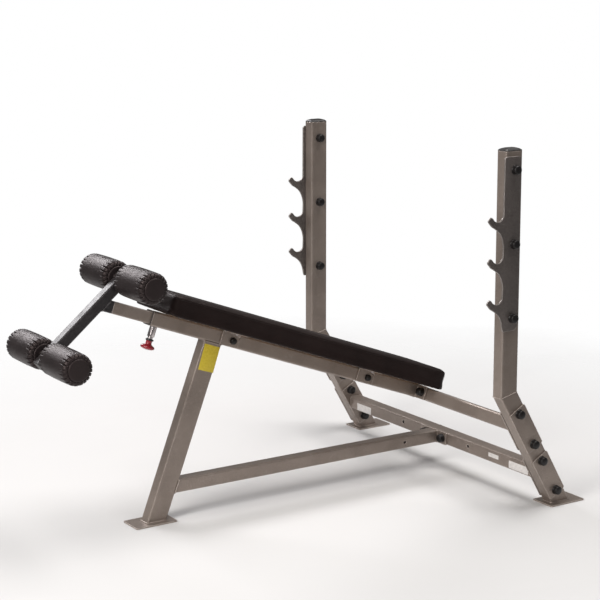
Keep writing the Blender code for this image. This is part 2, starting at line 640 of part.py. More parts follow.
# --------------------------------------------------------- leg hold-down
bm = bmesh.new()
swept_tube(bm, rail_point(-2, 0, TUBE_N), YDIR, RAIL_UP,
           [(RAIL_DIR, rail_point(TUBE_S[0], 0, 0), RAIL_DIR), (RAIL_DIR, rail_point(TUBE_S[1], 0, 0), RAIL_DIR)],
           rounded_rect(TUBE_W, TUBE_H, 0.0040),
           rounded_rect(TUBE_W - 2 * TUBE_WALL, TUBE_H - 2 * TUBE_WALL, 0.0020))
tube = finish("hold_down_tube", bm, PAINT, rail_point(TUBE_S[0], 0, TUBE_N), SLIDE, smooth=40)
holes(tube, [(rail_point(PIN_S + k * HOLE_PITCH, 0, -0.01), rail_point(PIN_S + k * HOLE_PITCH, 0, 0.018),
              PIN_NOSE_R + 0.0008) for k in range(HOLE_COUNT)])

ad = Vector((ARM_DIR[0], 0, ARM_DIR[1])).normalized()
an = Vector((-ad.z, 0, ad.x)) * -1          # toward the rear and down
if an.x < 0:
    an = -an
ap = Vector((ARM_TOP[0], 0, ARM_TOP[1]))


def arm_point(t, y=0.0, off=0.0):
    return ap + ad * t + an * off + YDIR * y


bm = bmesh.new()
swept_tube(bm, arm_point(-1), an, YDIR,
           [(ad, arm_point(ARM_SPAN[0]), ad), (ad, arm_point(ARM_SPAN[1]), ad)],
           rounded_rect(ARM_SIDE, ARM_SIDE, 0.005),
           rounded_rect(ARM_SIDE - 2 * TUBE_WALL, ARM_SIDE - 2 * TUBE_WALL, 0.0025))
arm = finish("hold_down_arm", bm, BLACKP, rail_point(TUBE_S[0], 0, TUBE_N), SLIDE, smooth=40)
# short welded stub that carries the telescoping tube
stub = bmesh.new()
swept_tube(stub, rail_point(-2, 0, TUBE_N), YDIR, RAIL_UP,
           [(RAIL_DIR, arm_point(0, 0, ARM_SIDE / 2 - 0.0015), an),
            (RAIL_DIR, rail_point(TUBE_S[0] - GAP, 0, 0), RAIL_DIR)],
           rounded_rect(TUBE_W, TUBE_H, 0.0040),
           rounded_rect(TUBE_W - 2 * TUBE_WALL, TUBE_H - 2 * TUBE_WALL, 0.0020))
combine(arm, stub, 'UNION')
holes(arm, [(arm_point(t, -0.04), arm_point(t, 0.04), AXLE_R + GAP) for t in AXLE_T])

for name, t, d in (("upper", ARM_SPAN[0], -1), ("lower", ARM_SPAN[1], 1)):
    bm = bmesh.new()
    loops = []
    for w, r, e in ((ARM_SIDE - 2 * TUBE_WALL - 0.0008, 0.0022, -0.012),
                    (ARM_SIDE - 2 * TUBE_WALL - 0.0008, 0.0022, GAP),
                    (ARM_SIDE, 0.005, GAP), (ARM_SIDE, 0.005, 0.0025), (ARM_SIDE - 0.006, 0.004, 0.0045)):
        loops.append([bm.verts.new(arm_point(t + d * e) + an * a + YDIR * b)
                      for a, b in rounded_rect(w, w, r)])
    for a, b in zip(loops, loops[1:]):
        bridge(bm, a, b)
    bm.faces.new(loops[0])
    bm.faces.new(loops[-1])
    finish("arm_cap_" + name, bm, BLACK, arm_point(t), SLIDE, smooth=40)

for name, t in (("upper", AXLE_T[0]), ("lower", AXLE_T[1])):
    c = arm_point(t)
    bm = bmesh.new()
    turned(bm, [(0, -AXLE_HALF), (AXLE_R - 0.001, -AXLE_HALF), (AXLE_R, -AXLE_HALF + 0.001),
                (AXLE_R, AXLE_HALF - 0.001), (AXLE_R - 0.001, AXLE_HALF), (0, AXLE_HALF)], c, YDIR, 20)
    finish("axle_" + name, bm, STEEL, c, SLIDE, smooth=35)
    for side, sign in (("left", -1), ("right", 1)):
        y0, y1 = ROLLER_Y
        R = ROLLER_R
        prof = [(0, AXLE_HALF + 0.002), (ROLLER_BORE, AXLE_HALF + 0.002), (ROLLER_BORE, y0 + 0.004),
                (R * 0.60, y0), (R * 0.80, y0 + 0.0015), (R * 0.93, y0 + 0.009), (R, y0 + 0.022),
                (R, y1 - 0.024), (R * 0.94, y1 - 0.011), (R * 0.84, y1 - 0.003), (R * 0.60, y1), (0, y1)]
        bm = bmesh.new()
        turned(bm, prof, c, YDIR * sign, 20)
        e = empty("roller_%s_%s_axis" % (name, side), Vector(c) - SLIDE.location, SLIDE)
        me_ob = finish("roller_%s_%s" % (name, side), bm, ROLLV, c, SLIDE, smooth=40)
        me_ob.parent = e
        me_ob.location = (0, 0, 0)

# --------------------------------------------------------- pull pin
pin0 = rail_point(PIN_S, 0, 0)
bm = bmesh.new()
turned(bm, [(HOUSING_R, -GAP), (HOUSING_R, -0.0374), (HOUSING_R - 0.0006, -0.0380), (0.0098, -0.0380),
            (0.0098, -0.0300), (0.0042, -0.0300), (0.0042, -0.0280), (HOUSING_BORE, -0.0280),
            (HOUSING_BORE, -GAP)], pin0, RAIL_UP, 16)
finish("pin_housing", bm, STEEL, pin0, smooth=35)

bm = bmesh.new()
turned(bm, [(0, 0.0044), (PIN_NOSE_R - 0.0012, 0.0044), (PIN_NOSE_R, 0.0030), (PIN_NOSE_R, -0.0072),
            (0.0066, -0.0072), (0.0066, -0.0092), (0.0034, -0.0092), (0.0034, -0.0365), (0.0094, -0.0365),
            (0.0094, -0.0462), (0.0034, -0.0462), (0.0034, -0.0700), (0, -0.0700)],
       pin0, RAIL_UP, 14)
finish("pull_pin", bm, STEEL, pin0, PIN, smooth=35)

bm = bmesh.new()
turned(bm, [(0.0038, -0.0465), (0.0143, -0.0465), (0.0146, -0.0525), (0.0038, -0.0525)], pin0, RAIL_UP, 18)
finish("pin_collar", bm, BLACK, pin0, PIN, smooth=35)

bm = bmesh.new()
turned(bm, [(0.0038, -0.0528), (0.0119, -0.0528), (0.0108, -0.0600), (0.0124, -0.0655), (0.0205, -0.0700),
            (0.0254, -0.0735), (0.0259, -0.0775), (0.0232, -0.0815), (0.0130, -0.0850), (0, -0.0862),
            (0, -0.0705), (0.0038, -0.0705)], pin0, RAIL_UP, 18)
finish("pin_knob", bm, RED, pin0, PIN, smooth=35)

# compression spring between the pin's shoulder and the housing's floor
wire, coil_r, turns, top_n, bot_n = 0.0006, 0.0053, 6, -0.0101, -0.0271
SEG, SIDES = 10 * turns, 5
bm = bmesh.new()
rings = []
for k in range(SEG + 1):
    a = 2 * math.pi * k / 10
    nn = bot_n + (top_n - bot_n) * k / SEG
    radial = RAIL_DIR * math.cos(a) + YDIR * math.sin(a)
    c = pin0 + radial * coil_r + RAIL_UP * nn
    rings.append([bm.verts.new(c + (radial * math.cos(2 * math.pi * j / SIDES)
                                    + RAIL_UP * math.sin(2 * math.pi * j / SIDES)) * wire)
                  for j in range(SIDES)])
for a, b in zip(rings, rings[1:]):
    bridge(bm, a, b)
bm.faces.new(rings[0])
bm.faces.new(rings[-1])
finish("pin_spring", bm, STEEL, pin0, smooth=60)
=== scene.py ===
"""Looks of the decline weight bench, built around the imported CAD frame."""
import json
import math

import bmesh
import bpy
import numpy as np
from mathutils import Matrix, Vector
from mathutils.bvhtree import BVHTree

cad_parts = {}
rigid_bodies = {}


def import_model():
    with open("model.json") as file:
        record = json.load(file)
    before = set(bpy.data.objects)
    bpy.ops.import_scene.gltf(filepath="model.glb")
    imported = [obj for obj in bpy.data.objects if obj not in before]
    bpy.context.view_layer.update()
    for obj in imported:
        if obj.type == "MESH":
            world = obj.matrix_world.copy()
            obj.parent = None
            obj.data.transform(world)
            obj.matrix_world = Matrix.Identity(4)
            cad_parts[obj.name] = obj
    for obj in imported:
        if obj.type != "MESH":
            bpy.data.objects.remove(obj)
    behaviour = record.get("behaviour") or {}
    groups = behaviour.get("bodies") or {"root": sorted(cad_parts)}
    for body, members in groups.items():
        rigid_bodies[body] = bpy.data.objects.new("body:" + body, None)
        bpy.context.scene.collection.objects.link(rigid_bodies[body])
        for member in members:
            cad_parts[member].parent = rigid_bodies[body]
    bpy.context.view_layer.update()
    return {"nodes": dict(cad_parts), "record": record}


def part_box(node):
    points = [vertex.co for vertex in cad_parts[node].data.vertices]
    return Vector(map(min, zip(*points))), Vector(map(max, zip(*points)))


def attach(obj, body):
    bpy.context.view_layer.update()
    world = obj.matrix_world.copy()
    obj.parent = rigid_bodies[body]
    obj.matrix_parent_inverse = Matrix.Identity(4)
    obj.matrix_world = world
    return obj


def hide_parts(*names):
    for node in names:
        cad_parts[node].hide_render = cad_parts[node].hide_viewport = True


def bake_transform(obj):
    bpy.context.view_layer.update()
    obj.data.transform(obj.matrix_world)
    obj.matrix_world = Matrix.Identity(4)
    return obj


for old in list(bpy.data.objects):
    bpy.data.objects.remove(old, do_unlink=True)

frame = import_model()
NODES = frame["nodes"]
SCENE = bpy.context.scene
COLL = SCENE.collection

# ------------------------------------------------------------------ places
# bench lengths are written from the front face of the uprights
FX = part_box("upright_left")[0].x
DECLINE = math.radians(20.2)
SIN_D, COS_D = math.sin(DECLINE), math.cos(DECLINE)
RAIL_Z0 = 0.3285
RAIL_DIR = Vector((COS_D, 0, -SIN_D))
RAIL_UP = Vector((SIN_D, 0, COS_D))
YDIR = Vector((0, 1, 0))
RAIL_W, RAIL_H, RAIL_FRONT = 0.050, 0.053, -1.158
GAP = 0.0003
UP_DEPTH, UP_WIDTH, UP_Y, UP_TOP = 0.075, 0.050, 0.617, 1.332
KINK_Z, LEG_TILT, CORNER = 0.4386, math.radians(30.2), 0.006
LEG_DIR = Vector((math.sin(LEG_TILT), 0, -math.cos(LEG_TILT)))
LEG_ACROSS = Vector((math.cos(LEG_TILT), 0, math.sin(LEG_TILT)))
FOOT_T = 0.005
BASE_Z = (0.0977, 0.1477)
LOWER_CROSS_X = (0.1977, 0.2537)
UPPER_CROSS_S, UPPER_CROSS_H = (0.0890, 0.1390), 0.0495
PLATE_T, FLANGE_T = 0.005, 0.006
CROSS_END = UP_Y - UP_WIDTH / 2 - GAP
FRONT_LEG_TILT, FRONT_LEG_X = math.radians(21.0), -1.0767
FL_UP = Vector((math.sin(FRONT_LEG_TILT), 0, math.cos(FRONT_LEG_TILT)))
FL_ACROSS = Vector((math.cos(FRONT_LEG_TILT), 0, -math.sin(FRONT_LEG_TILT)))
HOOK_T = 0.006
HOOK_Z = (1.0865, 0.9390, 0.7910)
PAD_S, PAD_HALF_Y, PAD_N, BOARD_T = (-1.160, 0.124), 0.140, (0.0578, 0.1350), 0.015
TUBE_W, TUBE_H, TUBE_N = 0.040, 0.043, 0.0265
TUBE_FRONT = -1.318
ARM_SIDE = 0.040
ARM_TOP = Vector((-1.2079, 0, 0.8805))
ARM_D = Vector((-0.7682, 0, -0.6402)).normalized()
ARM_N = Vector((-ARM_D.z, 0, ARM_D.x)) * -1
if ARM_N.x < 0:
    ARM_N = -ARM_N
AXLE_T, AXLE_R, AXLE_HALF = (-0.036, 0.340), 0.0125, 0.222
ROLLER_BORE = 0.0131
PIN_S = -1.1305


def W(p):
    """Bench coordinates to the row frame."""
    return Vector(p) + Vector((FX, 0, 0))


def rail(s, y, n):
    return W((s * COS_D + n * SIN_D, y, RAIL_Z0 - s * SIN_D + n * COS_D))


def arm(t, y=0.0, off=0.0):
    return W(ARM_TOP + ARM_D * t + ARM_N * off + YDIR * y)


def leg(along, across, y):
    return W(Vector((0, y, KINK_Z)) + LEG_DIR * along + LEG_ACROSS * across)


# ------------------------------------------------------------------ camera
def make_camera():
    az, el, roll = math.radians(-32.9836), math.radians(10.6013), math.radians(-0.0944)
    back = Vector((math.sin(az) * math.cos(el), -math.cos(az) * math.cos(el), math.sin(el)))
    fwd = -back
    right = fwd.cross(Vector((0, 0, 1))).normalized()
    up = right.cross(fwd)
    r2 = right * math.cos(roll) + up * math.sin(roll)
    u2 = up * math.cos(roll) - right * math.sin(roll)
    cam = bpy.data.cameras.new("camera")
    ob = bpy.data.objects.new("camera", cam)
    COLL.objects.link(ob)
    m = Matrix((r2, u2, back)).transposed().to_4x4()
    m.translation = W((-3.8461, -5.2351, 2.0318))
    ob.matrix_world = m
    cam.sensor_fit = 'HORIZONTAL'
    cam.sensor_width = 36.0
    cam.lens = 1710.1076 * 36 / 600
    cam.shift_x = (300 - 298.7732) / 600
    cam.shift_y = -(300 - 268.4819) / 600
    cam.clip_end = 200
    SCENE.camera = ob


make_camera()


# --------------------------------------------------------------- materials
class Mat:
    """A node material with a few short helpers."""

    def __init__(self, name, metallic=0.0, rough=0.5, spec=0.5, coat=0.0, coat_rough=0.2, sheen=0.0):
        self.m = bpy.data.materials.new(name)
        self.m.use_nodes = True
        self.t = self.m.node_tree
        self.t.nodes.clear()
        self.out = self.t.nodes.new("ShaderNodeOutputMaterial")
        self.p = self.t.nodes.new("ShaderNodeBsdfPrincipled")
        self.t.links.new(self.p.outputs[0], self.out.inputs[0])
        i = self.p.inputs
        i["Metallic"].default_value = metallic
        i["Roughness"].default_value = rough
        i["Specular IOR Level"].default_value = spec
        i["Coat Weight"].default_value = coat
        i["Coat Roughness"].default_value = coat_rough
        i["Sheen Weight"].default_value = sheen
        i["Sheen Roughness"].default_value = 0.4
        self.co = self.t.nodes.new("ShaderNodeTexCoord").outputs["Object"]

    def node(self, kind, **kw):
        n = self.t.nodes.new("ShaderNode" + kind)
        for k, v in kw.items():
            setattr(n, k, v)
        return n

    def link(self, a, b):
        self.t.links.new(a, b)

    def stretch(self, scale, rot=(0, 0, 0)):
        n = self.node("Mapping")
        self.link(self.co, n.inputs[0])
        n.inputs["Scale"].default_value = scale
        n.inputs["Rotation"].default_value = rot
        return n.outputs[0]

    def noise(self, scale, detail=2.0, rough=0.5, co=None):
        n = self.node("TexNoise")
        self.link(co or self.co, n.inputs["Vector"])
        n.inputs["Scale"].default_value = scale
        n.inputs["Detail"].default_value = detail
        n.inputs["Roughness"].default_value = rough
        return n.outputs["Fac"]

    def cells(self, scale, feature='F1', out="Distance", co=None):
        n = self.node("TexVoronoi", feature=feature)
        self.link(co or self.co, n.inputs["Vector"])
        n.inputs["Scale"].default_value = scale
        return n.outputs[out]

    def rng(self, x, a, b, c, d):
        n = self.node("MapRange")
        self.link(x, n.inputs["Value"])
        for k, v in zip(("From Min", "From Max", "To Min", "To Max"), (a, b, c, d)):
            n.inputs[k].default_value = v
        return n.outputs[0]

    def math(self, op, a, b):
        n = self.node("Math", operation=op)
        for s, v in zip(n.inputs, (a, b)):
            if isinstance(v, (int, float)):
                s.default_value = v
            else:
                self.link(v, s)
        return n.outputs[0]

    def mix(self, f, a, b):
        n = self.node("Mix", data_type='RGBA')
        self.link(f, n.inputs[0])
        for s, v in zip((n.inputs[6], n.inputs[7]), (a, b)):
            if isinstance(v, tuple):
                s.default_value = (*v, 1.0)
            else:
                self.link(v, s)
        return n.outputs[2]

    def bump(self, h, dist, strength=1.0, normal=None):
        n = self.node("Bump")
        self.link(h, n.inputs["Height"])
        n.inputs["Distance"].default_value = dist
        n.inputs["Strength"].default_value = strength
        if normal is not None:
            self.link(normal, n.inputs["Normal"])
        return n.outputs[0]

    def round_edges(self, radius):
        """Softened normal, and a mask that is 1 along sharp edges."""
        b = self.node("Bevel", samples=6)
        b.inputs["Radius"].default_value = radius
        g = self.node("NewGeometry")
        d = self.node("VectorMath", operation='DOT_PRODUCT')
        self.link(b.outputs[0], d.inputs[0])
        self.link(g.outputs["Normal"], d.inputs[1])
        return b.outputs[0], self.rng(d.outputs["Value"], 0.995, 0.90, 0.0, 1.0)

    def done(self, color, rough=None, normal=None):
        self.link(color, self.p.inputs["Base Color"])
        if rough is not None:
            self.link(rough, self.p.inputs["Roughness"])
        if normal is not None:
            self.link(normal, self.p.inputs["Normal"])
        return self.m


def powder_coat(name, dark, mid, light, metallic, rough, bead=0.0016):
    """Metallic powder coat: fine flake, slight orange peel, edges painted lighter as edge wear and as a painted
    highlight.
    """
    k = Mat(name, metallic=metallic, spec=0.5)
    flake = k.cells(1400, out="Color")
    sep = k.node("SeparateColor")
    k.link(flake, sep.inputs[0])
    cloud = k.noise(7.0, 3.0)
    base = k.mix(k.rng(cloud, 0.35, 0.65, 0, 1), dark, mid)
    base = k.mix(k.rng(sep.outputs[0], 0.55, 1.0, 0.0, 0.34), base, light)
    soft = k.round_edges(bead)[0]
    edge = k.round_edges(0.0045)[1]
    # edges painted lighter: partly edge wear, partly a painted highlight along the corners
    lighter_mix = k.math('MULTIPLY', edge, k.rng(k.noise(95, 4, 0.7), 0.40, 0.60, 0.35, 1.0))
    base = k.mix(lighter_mix, base, light)
    dust = k.rng(k.noise(34, 5, 0.65), 0.60, 0.78, 0.0, 0.10)
    base = k.mix(dust, base, tuple(min(1.0, c * 1.5) for c in light))
    r = k.math('ADD', k.rng(k.noise(24, 4), 0.3, 0.7, rough - 0.05, rough + 0.07),
               k.rng(sep.outputs[1], 0, 1, -0.03, 0.03))
    n = k.bump(k.noise(420, 2), 0.00016, 0.55, soft)
    n = k.bump(sep.outputs[2], 0.00003, 0.35, n)
    return k.done(base, r, n)


def vinyl(name, dark, light, rough, grain, spec, sheen, fold=0.0):
    """Upholstery vinyl: pebbled grain, soft sheen, slow waviness."""
    k = Mat(name, spec=spec, sheen=sheen)
    k.p.inputs["Specular Tint"].default_value = (1.0, 0.82, 0.80, 1.0)
    warp = k.node("VectorMath", operation='ADD')
    nz = k.node("TexNoise")
    k.link(k.co, nz.inputs["Vector"])
    nz.inputs["Scale"].default_value = grain * 0.35
    sc = k.node("VectorMath", operation='SCALE')
    k.link(nz.outputs["Color"], sc.inputs[0])
    sc.inputs["Scale"].default_value = 0.9 / grain
    k.link(k.co, warp.inputs[0])
    k.link(sc.outputs[0], warp.inputs[1])
    w = warp.outputs[0]
    cell = k.cells(grain, co=w)
    crease = k.cells(grain * 0.42, 'DISTANCE_TO_EDGE', co=w)
    pebble = k.rng(cell, 0.0, 0.75, 1.0, 0.0)
    vein = k.rng(crease, 0.0, 0.10, 0.0, 1.0)
    col = k.mix(k.rng(k.noise(9, 4), 0.35, 0.68, 0, 1), dark, light)
    col = k.mix(k.rng(pebble, 0.2, 0.9, 0.0, 0.35), col, tuple(c * 1.7 for c in light))
    # random lighter patches of rubbed vinyl
    lighter_mix = k.rng(k.noise(3.2, 5, 0.7), 0.55, 0.75, 0.0, 0.22)
    col = k.mix(lighter_mix, col, tuple(c * 1.5 for c in light))
    r = k.math('ADD', k.rng(k.noise(30, 3), 0.3, 0.7, rough - 0.05, rough + 0.06),
               k.rng(pebble, 0, 1, 0.05, -0.05))
    n = k.bump(k.noise(26, 3), 0.0010 + fold, 0.35)
    n = k.bump(pebble, 0.00022, 0.7, n)
    n = k.bump(vein, 0.00016, 0.6, n)
    return k.done(col, r, n)


def plastic(name, dark, light, rough, spec=0.5, coat=0.0, grain=900):
    k = Mat(name, spec=spec, coat=coat, coat_rough=0.12)
    col = k.mix(k.rng(k.noise(60, 4), 0.3, 0.7, 0, 1), dark, light)
    soft, edge = k.round_edges(0.0008)
    # sharp edges painted lighter: a painted edge highlight
    col = k.mix(k.math('MULTIPLY', edge, 0.35), col, tuple(min(1.0, c * 2.2) for c in light))
    r = k.rng(k.noise(140, 3), 0.3, 0.7, rough - 0.04, rough + 0.06)
    n = k.bump(k.noise(grain, 3), 0.00008, 0.6, soft)
    return k.done(col, r, n)


def steel(name, dark, light, rough):
    k = Mat(name, metallic=1.0)
    turn = k.noise(900, 2)
    col = k.mix(k.rng(k.noise(50, 4), 0.3, 0.7, 0, 1), dark, light)
    soft, edge = k.round_edges(0.0006)
    r = k.math('ADD', k.rng(turn, 0.3, 0.7, rough - 0.05, rough + 0.06), k.rng(edge, 0, 1, 0, 0.05))
    return k.done(col, r, k.bump(turn, 0.000006, 0.4, soft))


def plywood():
    k = Mat("plywood", spec=0.25)
    long = k.stretch((0.55, 9, 9), (0, DECLINE, 0))
    rings = k.noise(7, 6, 0.62, co=long)
    fib = k.noise(70, 4, 0.6, co=k.stretch((0.5, 10, 10), (0, DECLINE, 0)))
    col = k.mix(k.rng(rings, 0.32, 0.68, 0, 1), (0.30, 0.185, 0.095), (0.55, 0.39, 0.225))
    col = k.mix(k.rng(fib, 0.5, 0.75, 0, 0.5), col, (0.24, 0.145, 0.075))
    plies = k.cells(34, co=k.stretch((0.3, 0.3, 7.0), (0, DECLINE, 0)))
    col = k.mix(k.rng(plies, 0.1, 0.5, 0.12, 0.0), col, (0.18, 0.10, 0.05))
    return k.done(col, k.rng(fib, 0.3, 0.7, 0.62, 0.80), k.bump(fib, 0.00025, 0.6))


def label(name, tone, tint):
    """Blank sticker: faint mottling, no print."""
    k = Mat(name, spec=0.5)
    col = k.mix(k.rng(k.noise(120, 4, 0.6), 0.35, 0.65, 0, 1), tone, tint)
    r = k.rng(k.noise(300, 2), 0.3, 0.7, 0.36, 0.50)
    return k.done(col, r, k.bump(k.noise(200, 3), 0.00006, 0.4))


MAT = {
    "frame_paint": powder_coat("frame_paint", (0.196, 0.158, 0.134), (0.256, 0.210, 0.180), (0.66, 0.58, 0.53), 0.45, 0.35),
    "hook_paint": powder_coat("hook_paint", (0.076, 0.064, 0.060), (0.106, 0.090, 0.084), (0.70, 0.64, 0.60), 0.40, 0.36, 0.0014),
    "black_paint": powder_coat("black_paint", (0.008, 0.006, 0.007), (0.014, 0.011, 0.012), (0.16, 0.15, 0.155), 0.0, 0.33),
    "pad_vinyl": vinyl("pad_vinyl", (0.0085, 0.0050, 0.0046), (0.0145, 0.0088, 0.0080), 0.46, 620, 0.22, 0.0),
    "roller_vinyl": vinyl("roller_vinyl", (0.0105, 0.0078, 0.0080), (0.0185, 0.0140, 0.0142), 0.38, 760, 0.36, 0.0, 0.0003),
    "plywood": plywood(),
    "bolt_black": plastic("bolt_black", (0.0045, 0.0036, 0.0038), (0.0090, 0.0074, 0.0076), 0.36, 0.40),
    "black_plastic": plastic("black_plastic", (0.012, 0.011, 0.011), (0.021, 0.019, 0.019), 0.42),
    "plated_steel": steel("plated_steel", (0.34, 0.31, 0.31), (0.56, 0.52, 0.52), 0.24),
    "red_plastic": plastic("red_plastic", (0.25, 0.006, 0.016), (0.34, 0.010, 0.024), 0.30, coat=0.5),
}
SLOT_OF = {s["node"]: s["material_slot"] for s in frame["record"]["subparts"]}

# CAD nodes keep their shape and get the slot's finish
GUIDE = plastic("guide_plastic", (0.050, 0.042, 0.037), (0.080, 0.068, 0.060), 0.52)
for name, ob in NODES.items():
    ob.data.materials.clear()
    ob.data.materials.append(GUIDE if name == "rail_sleeve" else MAT[SLOT_OF[name]])


# ------------------------------------------------------------- mesh helpers
def piece(name, bm, slot, body, replaces=(), mat=None, smooth=35):
    bmesh.ops.recalc_face_normals(bm, faces=bm.faces)
    me = bpy.data.meshes.new(name)
    bm.to_mesh(me)
    bm.free()
    return piece_from(name, me, slot, body, replaces, mat, smooth)


def piece_from(name, me, slot, body, replaces=(), mat=None, smooth=35):
    me.materials.clear()
    me.materials.append(mat or MAT[slot])
    ob = bpy.data.objects.new(name, me)
    COLL.objects.link(ob)
    me.shade_smooth()
    if smooth < 180:
        me.set_sharp_from_angle(angle=math.radians(smooth))
    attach(ob, body)
    if replaces:
        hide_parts(*replaces)
    return ob


def rounded_rect(w, h, r, n=4):
    pts = []
    for cx, cy, a0 in ((w / 2 - r, h / 2 - r, 0), (-w / 2 + r, h / 2 - r, 90),
                       (-w / 2 + r, -h / 2 + r, 180), (w / 2 - r, -h / 2 + r, 270)):
        for k in range(n + 1):
            a = math.radians(a0 + 90 * k / n)
            pts.append((cx + r * math.cos(a), cy + r * math.sin(a)))
    return pts


def lathe(bm, profile, base, axis, seg=48):
    """Closed turned solid; profile is (radius, distance along axis)."""
    axis = Vector(axis).normalized()
    q = axis.to_track_quat('Z', 'Y').to_matrix()
    ux, uy = q @ Vector((1, 0, 0)), q @ Vector((0, 1, 0))
    rings = []
    for r, t in profile:
        c = Vector(base) + axis * t
        rings.append([bm.verts.new(c)] if r == 0 else
                     [bm.verts.new(c + (ux * math.cos(2 * math.pi * k / seg) + uy * math.sin(2 * math.pi * k / seg)) * r)
                      for k in range(seg)])
    pairs = list(zip(rings, rings[1:]))
    if profile[0][0] and profile[-1][0]:
        pairs.append((rings[-1], rings[0]))
    for a, b in pairs:
        for i in range(seg):
            j = (i + 1) % seg
            if len(a) == 1 and len(b) == 1:
                break
            if len(a) == 1:
                bm.faces.new((a[0], b[j], b[i]))
            elif len(b) == 1:
                bm.faces.new((a[i], a[j], b[0]))
            else:
                bm.faces.new((a[i], a[j], b[j], b[i]))


def applied(ob):
    """The object's mesh with its modifiers applied."""
    dg = bpy.context.evaluated_depsgraph_get()
    me = bpy.data.meshes.new_from_object(ob.evaluated_get(dg), depsgraph=dg)
    ob.modifiers.clear()
    old, ob.data = ob.data, me
    if old.users == 0:
        bpy.data.meshes.remove(old)
    return ob


# ------------------------------------------------------------------- bolts
def bolt(node, body, axis, half, r, h):
    """Through bolt with a washer-edged domed cover over each end."""
    lo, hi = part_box(node)
    c = (lo + hi) / 2
    g = half - h
    wall = h * 0.70
    up = [(0.0050, g), (r - 0.0006, g), (r, g + 0.0006), (r, g + 0.0020), (r - 0.0005, g + 0.0028),
          (r * 0.950, g + 0.0032), (r * 0.940, g + 0.0040), (r * 0.920, g + wall * 0.6), (r * 0.905, g + wall)]
    for k in range(1, 10):
        a = math.pi / 2 * k / 9
        up.append((r * 0.905 * math.cos(a) ** 0.85 if k < 9 else 0, g + wall + (h - wall) * math.sin(a)))
    bm = bmesh.new()
    lathe(bm, [(q, -t) for q, t in reversed(up)] + up, c, axis, 36)
    piece("cover_" + node, bm, "bolt_black", body, (node,), smooth=50)


for side in ("left", "right"):
    for where in ("top", "middle", "bottom"):
        n = "hook_bolt_%s_%s" % (where, side)
        lo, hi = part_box(n)
        bolt(n, "frame", (0, 1, 0), (hi.y - lo.y) / 2, 0.0175, 0.022)
    for where in ("upper", "lower"):
        for ab in "ab":
            n = "leg_bolt_%s_%s_%s" % (where, ab, side)
            lo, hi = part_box(n)
            bolt(n, "frame", (0, 1, 0), (hi.y - lo.y) / 2, 0.0175, 0.022)
    lo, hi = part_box("base_bolt_" + side)
    bolt("base_bolt_" + side, "frame", (1, 0, 0), (hi.x - lo.x) / 2, 0.0175, 0.022)
    grip = UPPER_CROSS_S[1] - (UPPER_CROSS_S[0] - GAP - FLANGE_T)
    bolt("rail_bolt_" + side, "frame", RAIL_DIR, grip / 2 + GAP + 0.022, 0.0175, 0.022)
for where in ("front", "rear"):
    lo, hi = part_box("bracket_bolt_" + where)
    bolt("bracket_bolt_" + where, "frame", (0, 1, 0), (hi.y - lo.y) / 2, 0.013, 0.013)


# ------------------------------------------------------------- hook plates
def hook_outline():
    front, rear, top, bottom = -0.0085, 0.0660, 1.3145, 0.6880
    pts = []

    def arc(cx, cz, r, a0, a1, n):
        for k in range(n + 1):
            a = math.radians(a0 + (a1 - a0) * k / n)
            pts.append((cx + r * math.cos(a), cz + r * math.sin(a)))
    arc(rear - 0.012, top - 0.012, 0.012, 0, 90, 8)
    arc(front + 0.010, top - 0.010, 0.010, 90, 180, 8)
    for z in HOOK_Z:
        arc(-0.0345, z + 0.026, 0.026, -18, -152, 22)
        arc(-0.0662, z + 0.0100, 0.0086, 62, 110, 5)
        arc(-0.0700, z + 0.0052, 0.0082, 150, 215, 6)
        ctl = [(-0.0640, z - 0.0140), (-0.0480, z - 0.0240), (-0.0310, z - 0.0370),
               (-0.0200, z - 0.0520), (-0.0130, z - 0.0690), (front, z - 0.0920)]
        ext = [(-0.0752, z + 0.0030)] + ctl + [(front, z - 0.1100)]
        for i in range(1, len(ext) - 2):
            p0, p1, p2, p3 = (Vector(ext[i + j]) for j in (-1, 0, 1, 2))
            for k in range(4):
                t = k / 4
                q = 0.5 * (2 * p1 + (p2 - p0) * t + (2 * p0 - 5 * p1 + 4 * p2 - p3) * t * t
                           + (3 * p1 - p0 - 3 * p2 + p3) * t ** 3)
                pts.append((q.x, q.y))
        pts.append(ctl[-1])
    pts.extend([(front + 0.004, bottom), (0.0470, bottom), (rear, bottom + 0.019)])
    return pts


for side, sign in (("left", -1), ("right", 1)):
    y0 = sign * (UP_Y + UP_WIDTH / 2 + GAP)
    bm = bmesh.new()
    loop = hook_outline()
    lo = [bm.verts.new(W((a, y0, b))) for a, b in loop]
    hi = [bm.verts.new(W((a, y0 + sign * HOOK_T, b))) for a, b in loop]
    for i in range(len(lo)):
        j = (i + 1) % len(lo)
        bm.faces.new((lo[i], lo[j], hi[j], hi[i]))
    bm.faces.new(lo)
    bm.faces.new(hi)
    rim = [e for e in bm.edges if abs(e.verts[0].co.y - e.verts[1].co.y) < 1e-5]
    bmesh.ops.recalc_face_normals(bm, faces=bm.faces)
    bmesh.ops.bevel(bm, geom=rim, offset=0.0009, segments=2, profile=0.6, affect='EDGES', clamp_overlap=True)
    piece("hook_%s" % side, bm, "hook_paint", "frame", ("hook_plate_" + side,), smooth=30)


